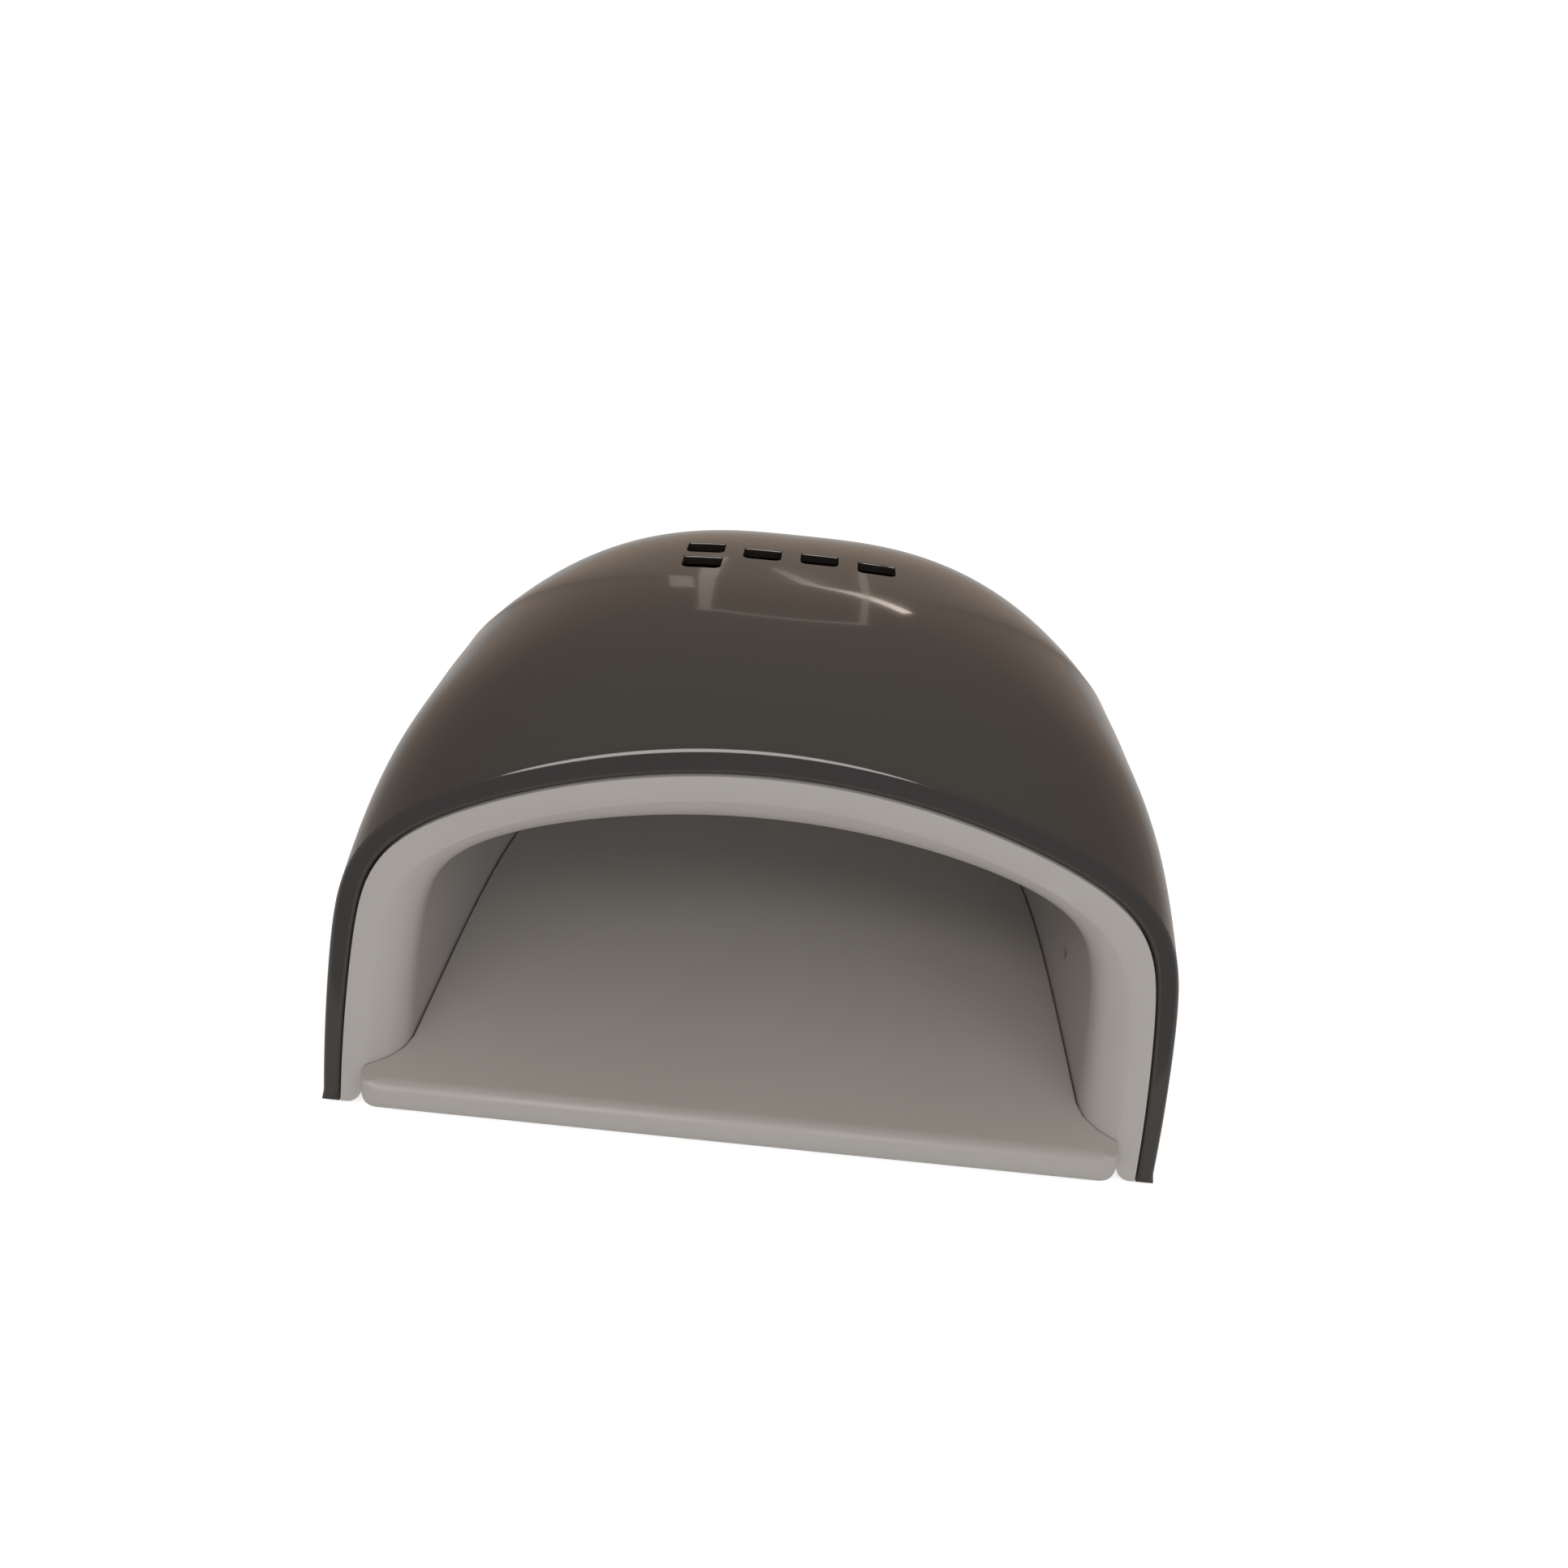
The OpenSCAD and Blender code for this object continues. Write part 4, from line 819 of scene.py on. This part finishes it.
def board_paint(name, mask, trace):
    """Lacquered board with lighter traces under the lacquer and small round pads."""
    paint = finish(name, mask, 0.35, 2500, 0.02, 0.04, 0.3)
    nodes, links = paint.node_tree.nodes, paint.node_tree.links
    bsdf = nodes["Principled BSDF"]
    place = add(nodes, "TexCoord")
    either = maths(nodes, "MAXIMUM")
    for i, (feature, scale, limit) in enumerate((
        ("DISTANCE_TO_EDGE", trace_scale, trace_wide), ("F1", pad_scale, pad_size),
    )):
        cells = add(nodes, "TexVoronoi", {"Scale": scale})
        cells.feature = feature
        mark = maths(nodes, "LESS_THAN", {1: limit})
        wire(links, (place, "Object", cells, "Vector"), (cells, "Distance", mark, 0), (mark, 0, either, i))
    blend = colour_mix(nodes, {7: (*trace, 1)})
    tint = bsdf.inputs["Base Color"].links[0].from_node
    wire(links, (either, 0, blend, 0), (tint, 2, blend, 6), (blend, 2, bsdf, "Base Color"))
    return paint


def turned(profile, sides):
    """A round piece spun from its half outline, pairs of radius and height."""
    bm = bmesh.new()
    line = [bm.verts.new((radius, 0, height)) for radius, height in profile]
    edges = [bm.edges.new(pair) for pair in zip(line, line[1:])]
    bmesh.ops.spin(
        bm, geom=line + edges, cent=(0, 0, 0), axis=(0, 0, 1), dvec=(0, 0, 0),
        angle=2 * math.pi, steps=sides, use_merge=True, use_duplicate=False,
    )
    bmesh.ops.remove_doubles(bm, verts=bm.verts, dist=1e-7)
    bmesh.ops.recalc_face_normals(bm, faces=bm.faces)
    return bm


def round_nose(radius, tall, end, steps):
    """Half the outline of a round nose that points down to its end."""
    turns = [math.pi / 2 * i / steps for i in range(steps + 1)]
    return [(radius * math.sin(turn), tall * (1 - math.cos(turn)) - end) for turn in turns]


white_board = board_paint("white_board", (0.72, 0.72, 0.70), (0.80, 0.80, 0.80))
for node in ("ceiling_led_board", "left_led_board", "right_led_board", "rear_led_board"):
    on_node(node, white_board)
lens_paint = finish("lens_clear", (0.93, 0.91, 0.97), 0.04, 800, 0.01, 0.01, clear=0.95)
cup_paint = finish("lamp_cup", (0.75, 0.74, 0.72), 0.22, 2000, 0.04, 0.05, metal=1.0)
chip_paint = finish("lamp_chip", (0.55, 0.42, 0.10), 0.5, 3000, 0.1, 0.1)
nose_thick = 0.0042


def lens_body(reach):
    nose = round_nose(lens_radius, lens_radius, reach + lens_proud, 9)
    return turned(nose + [(lens_radius, -0.0006), (lens_radius - 0.0003, 0.0), (0, 0.0)], 28)


def lens_cup(reach):
    deep = reach + lens_proud - nose_thick
    return turned([
        (0, -deep), (0.0008, -deep), (0.0016, -deep - 0.0007), (0.0018, -deep - 0.0007),
        (0.0011, -deep + 0.0004), (0.0003, -deep + 0.0006), (0.0003, -0.0002), (0, -0.0002),
    ], 20)


def lens_chip(reach):
    deep = reach + lens_proud - nose_thick
    return plate(0.0007, 0.0007, -deep - 0.00022, -deep - 0.00002, 0)


for group in lamps:
    for part, shape, paint in (
        ("lenses", lens_body, lens_paint), ("cups", lens_cup, cup_paint), ("chips", lens_chip, chip_paint),
    ):
        whole = joined([moved(shape(reach), at) for at, reach in lamps[group]])
        piece = show(whole, f"{group}_lamp_{part}", paint)
        if part == "lenses":
            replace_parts(piece, f"{group}_lenses")

# Hand sensor: a small dark moulded lens low on the right side of the tunnel. Its
# low round nose stays a little behind the wall, in its own hole.
sensor_in, sensor_bulge = 0.0003, 0.6
sensor_reach = side_reach(*sensor_spot) - sensor_in
sensor_nose = round_nose(sensor_radius, sensor_radius * sensor_bulge, sensor_reach, 6)
sensor_mesh = turned(sensor_nose + [(sensor_radius, 0), (0, 0)], 24)
sensor_mesh = moved(sensor_mesh, on_side(1) @ Matrix.Translation((*sensor_spot, 0)))
sensor_paint = finish("sensor_dark", (0.012, 0.010, 0.016), 0.12, 900, 0.02, 0.05, 0.4)
sensor = show(sensor_mesh, "hand_sensor", sensor_paint)
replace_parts(sensor, "ir_sensor")

# Control panel: a glossy near-black plate let into the dome's flat pad. Its window
# and its four button holes have small round lips.
panel_lip, panel_edge = 0.0004, 0.0005


def soften_top(bm, width, steps):
    """Rounds the edges at the top of a plate whose top is at 0."""
    top = [edge for edge in bm.edges if min(vert.co.z for vert in edge.verts) > -1e-6]
    bevel(bm, top, width, steps)


panel_mesh = plate(panel_wide, panel_long, -panel_thick, 0, panel_corner, 16)
soften_top(panel_mesh, panel_edge, 3)
window_wide, window_long, window_corner, window_gap, window_thick = 0.030, 0.011, 0.0015, 0.00015, 0.0015
button_radius, button_gap, button_pitch, button_proud = 0.0036, 0.0003, 0.0114, 0.0012
window_y, buttons_y = -0.0054, 0.0069
button_spots = {seconds: (1.5 - i) * button_pitch for i, seconds in enumerate((10, 30, 60, 99))}
lip_steps = [
    (0, -panel_thick - beyond), (0, -panel_lip), (0.00012, -0.00016), (panel_lip, 0), (2 * panel_lip, 0.0004),
]
window_path = slot_path(window_wide, window_long, window_corner, window_corner)


def window_ring(grow, rise):
    def point(k):
        spot, way = window_path[k]
        return (spot + way * grow).to_3d() + Vector((0, window_y, rise))

    return point


lip_tools = [sleeve([window_ring(*step) for step in lip_steps], len(window_path))]
hole_line = [(button_radius + button_gap + grow, rise) for grow, rise in lip_steps]
hole_line = [(0, lip_steps[0][1])] + hole_line + [(0, lip_steps[-1][1])]
for spot in button_spots.values():
    hole = turned(hole_line, 64)
    lip_tools.append(moved(hole, shift(spot, buttons_y, 0)))
panel_mesh = moved(carve(panel_mesh, joined(lip_tools)), on_panel)
panel_paint = finish("panel_gloss", (0.020, 0.018, 0.017), 0.10, 900, 0.01, 0.05, 0.6)
panel = show(panel_mesh, "panel_plate", panel_paint)
flatten(panel, pad_way)
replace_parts(panel, "control_panel")

# Display: a smoked clear window over a dark module with two seven-bar numerals,
# which stay dim while the lamp is off.
glass_edge, module_edge = 0.0002, 0.0002
on_window = on_panel @ shift(0, window_y, 0)
window_mesh = plate(
    window_wide - 2 * window_gap, window_long - 2 * window_gap,
    -window_thick, 0, window_corner - window_gap, 6,
)
soften_top(window_mesh, glass_edge, 2)
window_mesh = moved(window_mesh, on_window)
window_paint = finish("window_smoke", (0.16, 0.15, 0.16), 0.05, 900, 0.01, 0.04, clear=0.9)
window = show(window_mesh, "smoke_window", window_paint)
flatten(window, pad_way)
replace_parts(window, "display_window")
module_wide, module_long, module_top = window_wide - 0.002, window_long - 0.001, -window_thick - 0.0001
module_mesh = plate(module_wide, module_long, board_top, module_top, 0.0004, 3)
bevel(module_mesh, sharp_edges(module_mesh, 40), module_edge, 2)
module_mesh = moved(module_mesh, on_window)
module_paint = finish("module_black", (0.018, 0.018, 0.020), 0.55, 2500, 0.1, 0.08)
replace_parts(show(module_mesh, "display_body", module_paint), "display_module")
bar_long, bar_wide, bar_apart, numeral_pitch, numeral_slant = 0.0030, 0.0007, 0.0002, 0.0062, 0.12
bar_low, bar_high, bar_corner = module_top - 0.0001, module_top + 0.00005, bar_wide * 0.49
bars = []
for numeral in (-0.5, 0.5):
    numeral_x = numeral * numeral_pitch
    shear = Matrix(((1, numeral_slant, 0, numeral_x), (0, 1, 0, 0), (0, 0, 1, 0), (0, 0, 0, 1)))
    for x, y, upright in (
        (0, 1, False), (0, 0, False), (0, -1, False),
        (0.5, 0.5, True), (0.5, -0.5, True), (-0.5, 0.5, True), (-0.5, -0.5, True),
    ):
        bar = plate(bar_long - bar_apart, bar_wide, bar_low, bar_high, bar_corner, 2)
        turn = Matrix.Rotation(math.pi / 2 if upright else 0, 4, "Z")
        bars.append(moved(bar, shift(x * bar_long, y * bar_long, 0) @ turn))
        bars[-1].transform(shear)
upright_behind = Matrix.Rotation(math.pi, 4, "Z")
bars = moved(joined(bars), on_window @ upright_behind)
bar_paint = finish("numeral_bars", (0.30, 0.27, 0.26), 0.4, 2000, 0.02, 0.05)
show(bars, "display_bars", bar_paint)

# Timer buttons: four round satin caps with a shallow dish and a thin flange below
# the panel. Each carries its seconds as a thin print, upright from behind the lamp.
flange_top, flange_out, flange_thick = -panel_thick - 0.0002, button_radius + 0.0008, 0.0009
stem_radius, stem_end = 0.0016, board_top + 0.0055
figure_size, figure_thick, figure_sunk = 0.0031, 0.00003, 0.00012
cap_line = [
    (0, button_proud - 0.00014), (0.0024, button_proud - 0.00013), (0.0029, button_proud - 0.00004),
    (0.00315, button_proud), (0.00338, button_proud - 0.00005), (0.00353, button_proud - 0.00018),
    (button_radius, button_proud - 0.0004), (button_radius, flange_top), (flange_out, flange_top),
    (flange_out, flange_top - flange_thick), (stem_radius, flange_top - flange_thick),
    (stem_radius, stem_end), (0, stem_end),
]
button_paint = finish("button_satin", (0.34, 0.32, 0.30), 0.38, 1600, 0.05, 0.03)
print_paint = finish("button_print", (0.03, 0.028, 0.027), 0.5, 2500, 0.05, 0.05)
for seconds, spot in button_spots.items():
    at = on_panel @ shift(spot, buttons_y, 0)
    key = f"key_{seconds}s"
    cap = show(moved(turned(cap_line, 64), at), f"cap_{seconds}s", button_paint, key, 30)
    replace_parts(cap, f"button_{seconds}s")
    figures = bpy.data.curves.new("figures", "FONT")
    figures.body, figures.size, figures.extrude = str(seconds), figure_size, figure_thick
    figures.align_x, figures.align_y, figures.resolution_u = "CENTER", "CENTER", 4
    written = bpy.data.objects.new("figures", figures)
    bpy.context.scene.collection.objects.link(written)
    bpy.context.view_layer.update()
    figure_mesh = bmesh.new()
    figure_mesh.from_mesh(written.to_mesh())
    bpy.data.objects.remove(written)
    bmesh.ops.remove_doubles(figure_mesh, verts=figure_mesh.verts, dist=1e-7)
    moved(figure_mesh, at @ upright_behind @ shift(0, 0, button_proud - figure_sunk))
    show(figure_mesh, f"figures_{seconds}s", print_paint, key)

# Control board: a green board on the pad's posts with its switches, chips,
# capacitors and choke, and the screws and plugs that hold and feed all boards.
on_node("control_board", board_paint("green_board", (0.030, 0.15, 0.065), (0.06, 0.24, 0.11)))
on_node("tact_switches", finish("switch_black", (0.03, 0.03, 0.03), 0.45, 2200, 0.06))
on_node("driver_chips", finish("chip_black", (0.022, 0.022, 0.024), 0.55, 3000, 0.12))
on_node("capacitors", finish("capacitor_sleeve", (0.045, 0.070, 0.16), 0.3, 1500, 0.03, 0.06, 0.2))
coil_paint = finish("coil_copper", (0.62, 0.27, 0.13), 0.3, 1500, 0.03, metal=1.0)
coil_nodes, coil_links = coil_paint.node_tree.nodes, coil_paint.node_tree.links
turns = add(coil_nodes, "TexWave", {"Scale": 700})
turns.bands_direction = "Z"
turns_place = add(coil_nodes, "TexCoord")
wire(coil_links, (turns_place, "Object", turns, "Vector"), (turns, "Fac", coil_nodes["Bump"], "Height"))
on_node("power_coil", coil_paint)
screw_paint = finish("screw_zinc", (0.62, 0.61, 0.58), 0.28, 2600, 0.05, 0.08, metal=1.0)
on_node("board_screws", screw_paint)
on_node("wire_connectors", finish("plug_nylon", (0.74, 0.72, 0.66), 0.45, 1200, 0.04))
on_node("wiring_loom", finish("lead_red", (0.36, 0.022, 0.020), 0.38, 1800, 0.04))

# Power inlet: a turned black barrel whose flange sits in the dome's back wall, with
# a nickel pin in its socket and a nut behind the wall.
thread_turns, thread_pitch, thread_deep = 7, 0.00075, 0.00025
jack_line = [
    (0, 0.0078), (0.00285, 0.0078), (0.00285, -0.0009), (0.0029, -0.0011), (0.0031, -0.0012),
    (0.0064, -0.0012), (0.0068, -0.0011), (0.00695, -0.0009), (jack_flange, -0.0006),
    (jack_flange, 0), (jack_radius, 0),
]
for turn in range(thread_turns):
    rise = turn * thread_pitch
    jack_line += [(jack_radius, 0.0002 + rise), (jack_radius - thread_deep, 0.0006 + rise)]
jack_line += [(jack_radius, 0.0055), (0.0047, 0.0055), (0.0047, 0.0135), (0, 0.0135)]
jack_paint = finish("jack_black", (0.022, 0.021, 0.021), 0.34, 1500, 0.05, 0.06)
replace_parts(show(moved(turned(jack_line, 64), on_jack), "inlet_barrel", jack_paint), "dc_jack")
pin_line = [
    (0, -0.0002), (0.0006, -0.00015), (0.0009, 0.0001), (0.00105, 0.0005), (0.00105, 0.0079), (0, 0.0079),
]
nickel_paint = finish("nickel", (0.66, 0.63, 0.58), 0.16, 1800, 0.02, 0.04, metal=1.0)
show(moved(turned(pin_line, 32), on_jack), "inlet_pin", nickel_paint)
on_node("jack_nut", nickel_paint)

# Base frame: a flat ring of dark plastic screwed into the dome from below. Its ledge
# carries the tray, and two magnets in it hold the tray's own two.
frame_edge, flat_turn = 0.0003, math.radians(0.5)
frame_mesh = bmesh.new()
frame_mesh.from_mesh(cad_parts["base_frame"].data)
bmesh.ops.remove_doubles(frame_mesh, verts=frame_mesh.verts, dist=1e-6)
bmesh.ops.dissolve_limit(frame_mesh, angle_limit=flat_turn, verts=frame_mesh.verts, edges=frame_mesh.edges)
bevel(frame_mesh, sharp_edges(frame_mesh, 50), frame_edge, 2)
frame_paint = finish("frame_plastic", (0.040, 0.036, 0.034), 0.46, 1100, 0.12, 0.05)
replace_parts(show(frame_mesh, "base_ring", frame_paint), "base_frame")
magnet_paint = finish("magnet_nickel", (0.60, 0.60, 0.60), 0.24, 1500, 0.02, 0.05, metal=1.0)
on_node("frame_magnets", magnet_paint)

# Case screws: six pan heads with a cross recess, sunk into the base frame from
# below. Each is turned a little further than the one before.
head_low, shank_radius, screw_twist = 0.0005, screw_radius - 0.00003, 0.9
screw_line = [
    (0, 0), (0.0019, 0.00005), (0.0025, 0.00025), (0.0028, 0.0006), (0.0028, 0.0012),
    (shank_radius, 0.0012), (shank_radius, 0.0143), (0.0008, 0.015), (0, 0.015),
]
screw_mesh = turned([(radius, head_low + z) for radius, z in screw_line], 40)
cross = carve(plate(0.0030, 0.0007, -0.001, 0.0012, 0), plate(0.0007, 0.0030, -0.001, 0.0012, 0), "UNION")
screw_mesh = carve(screw_mesh, cross)
screw_copies = []
for i, spot in enumerate(boss_places):
    at = to_place @ Matrix.Translation(spot.to_3d()) @ Matrix.Rotation(i * screw_twist, 4, "Z")
    screw_copies.append(moved(screw_mesh.copy(), at))
screw_mesh.free()
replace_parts(show(joined(screw_copies), "case_screw_set", screw_paint, crease=30), "case_screws")

# Feet: four soft rubber discs let into the frame, with a round edge and a dished
# sole. Two stand in front and two behind.
foot_radius = 0.0055
foot_line = [
    (0, -0.0007), (0.0034, -0.0007), (0.0040, -0.00075), (0.0044, -0.00095), (0.0048, -foot),
    (0.0052, -0.0009), (0.00542, -0.0007), (foot_radius, -0.0004), (foot_radius, 0.0012),
    (0.0054, 0.0013), (0, 0.0013),
]
feet = []
for spot in plan_spots(0.020, 0.014, (52, 128), 0.012):
    feet.append(moved(turned(foot_line, 48), to_place @ Matrix.Translation(spot.to_3d())))
foot_paint = finish("foot_rubber", (0.022, 0.021, 0.020), 0.72, 2600, 0.2, 0.10)
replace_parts(show(joined(feet), "feet", foot_paint), "rubber_feet")

# Base tray: a satin warm grey floor moulding that slides out to the front. Its front
# edge is a round nose, its sides follow the funnel, and ribs stiffen it below.
tray_high, tray_floor, tray_low = 0.010, 0.0032, 0.003
tray_rib, tray_gap, tray_back_gap = 0.0024, 0.0005, 0.003
nose_radius, nose_corner, side_round, tray_blend = 0.0048, 0.0050, 0.0005, 0.001
front_steps, corner_steps, side_steps, back_steps, ring_step = 10, 12, 48, 6, 9
nose_middle = tray_high - nose_radius
nose_end = tunnel_size(0, 0)[0] - tray_gap
tray_deep = tunnel_deep - tray_back_gap
tray_reach = tunnel_deep - tray_back_gap / 2


def tray_half(y, z):
    """Half the tray's width where it follows the liner, at a place and a height."""
    k = lean * max(0.0, 1 - y / tunnel_upright)
    depth = max(0.0, y - k * z)
    past = max(0.0, depth - funnel_deep)
    end = bow(past / (tray_reach - funnel_deep), tunnel_back)
    half = (tunnel_half - tray_gap - tunnel_taper * past) * end
    return half + (rim_half - rim_wide - tunnel_half) * funnel(depth, 3)


def soft_least(a, b):
    """The smaller of two lengths, rounded where they cross."""
    return min(a, b) - max(0.0, tray_blend - abs(a - b)) ** 2 / (4 * tray_blend)


# half of the tray's plan from the middle of the front to the middle of the back:
# place, outward direction, how much of the nose's roundness it has, share of its width
tray_stations = []
for i in range(front_steps):
    tray_stations.append((nose_end - nose_corner, -nose_out, 0, -1, 1.0, i / front_steps))
for i in range(corner_steps + 1):
    turn = math.pi / 2 * i / corner_steps
    x = nose_end - nose_corner + nose_corner * math.sin(turn)
    y = nose_corner * (1 - math.cos(turn)) - nose_out
    tray_stations.append((x, y, math.sin(turn), -math.cos(turn), math.cos(turn) ** 2, 1.0))
corner_end = nose_corner - nose_out
for i in range(1, side_steps + 1):
    y = corner_end + (tray_deep - corner_end) * math.sin(math.pi / 2 * i / side_steps) ** 1.2
    tray_stations.append((1.0, y, 1, 0, 0.0, 1.0))
for i in range(1, back_steps + 1):
    tray_stations.append((1.0, tray_deep, 0, 1, 0.0, 1 - i / back_steps))
half_count = len(tray_stations) - 1


def tray_ring(degrees):
    """A ring round the tray at one angle of its nose's roundness."""
    swing = math.radians(degrees)
    nose_in = nose_radius * (1 - math.cos(swing))
    side_in = side_round * (1 - max(0.0, math.cos(swing)) ** 0.4)
    z = nose_middle + nose_radius * math.sin(swing)

    def point(k):
        left = k > half_count
        x, y, way_x, way_y, nose, share = tray_stations[2 * half_count - k if left else k]
        back = nose * nose_in + (1 - nose) * side_in
        y -= way_y * back
        x = share * soft_least(x - way_x * back, tray_half(y, z) - abs(way_x) * back)
        return Vector((-x if left else x, y, z))

    return point


tray_mesh = sleeve([tray_ring(degrees) for degrees in range(-90, 91, ring_step)], 2 * half_count)

# below, only the round bar of the nose hangs under the skirt; pockets lie between the ribs
below = plate(2 * dome_wide, dome_deep, -0.002, tray_low, 0)
below.transform(shift(0, nose_radius - nose_out + dome_deep / 2, 0))
bar = moved(rod(nose_radius, -dome_wide, dome_wide, sides=80), Matrix.Rotation(math.pi / 2, 4, "Y"))
below = carve(below, moved(bar, shift(0, nose_radius - nose_out, nose_middle)))
tray_mesh = carve(tray_mesh, below)
nose_wall, slope_step = 0.001, 0.0001
pocket_front, pocket_back = 2 * nose_radius - nose_out + nose_wall, tray_deep - tray_rib
pockets = bmesh.new()
bmesh.ops.create_grid(pockets, x_segments=4, y_segments=40, size=1)
for vert in pockets.verts:
    y = pocket_front + (pocket_back - pocket_front) * math.sin(math.pi / 4 * (vert.co.y + 1))
    slope = (tray_half(y + slope_step, tray_low) - tray_half(y - slope_step, tray_low)) / (2 * slope_step)
    vert.co = vert.co.x * (tray_half(y, tray_low) - tray_rib * math.hypot(1, slope)), y, 0
risen = bmesh.ops.extrude_face_region(pockets, geom=pockets.faces[:])["geom"]
risen = [part for part in risen if isinstance(part, bmesh.types.BMVert)]
bmesh.ops.translate(pockets, vec=(0, 0, tray_high - tray_floor), verts=risen)
bmesh.ops.recalc_face_normals(pockets, faces=pockets.faces)
magnet_radius, magnet_thick, magnet_play = 0.004, 0.0018, 0.00005
magnet_places = [(x, tray_deep - 0.007) for x in (-0.036, 0.036)]
kept = []
for x in (-0.040, 0, 0.040):
    rib = plate(tray_rib, dome_deep, -beyond, tray_high, 0)
    kept.append(moved(rib, shift(x, dome_deep / 2, 0)))
seat_ends = tray_low - beyond, tray_low + magnet_thick
collars, seats = [], []
for spot in magnet_places:
    collars.append(rod(magnet_radius + tray_rib, -beyond, tray_high, *spot, sides=48))
    seats.append(rod(magnet_radius + magnet_play, *seat_ends, *spot, sides=48))
pockets = carve(carve(pockets, joined(kept)), joined(collars))
tray_mesh = moved(carve(carve(tray_mesh, pockets), joined(seats)), to_place)
tray_paint = finish("tray_satin", (0.49, 0.455, 0.422), 0.40, 1400, 0.05, 0.03)
tray = show(tray_mesh, "tray", tray_paint, "tray", 40)
for way in (-1, 1):
    flatten(tray, Vector((0, 0, way)))
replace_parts(tray, "removable_tray")
on_node("tray_magnets", magnet_paint)
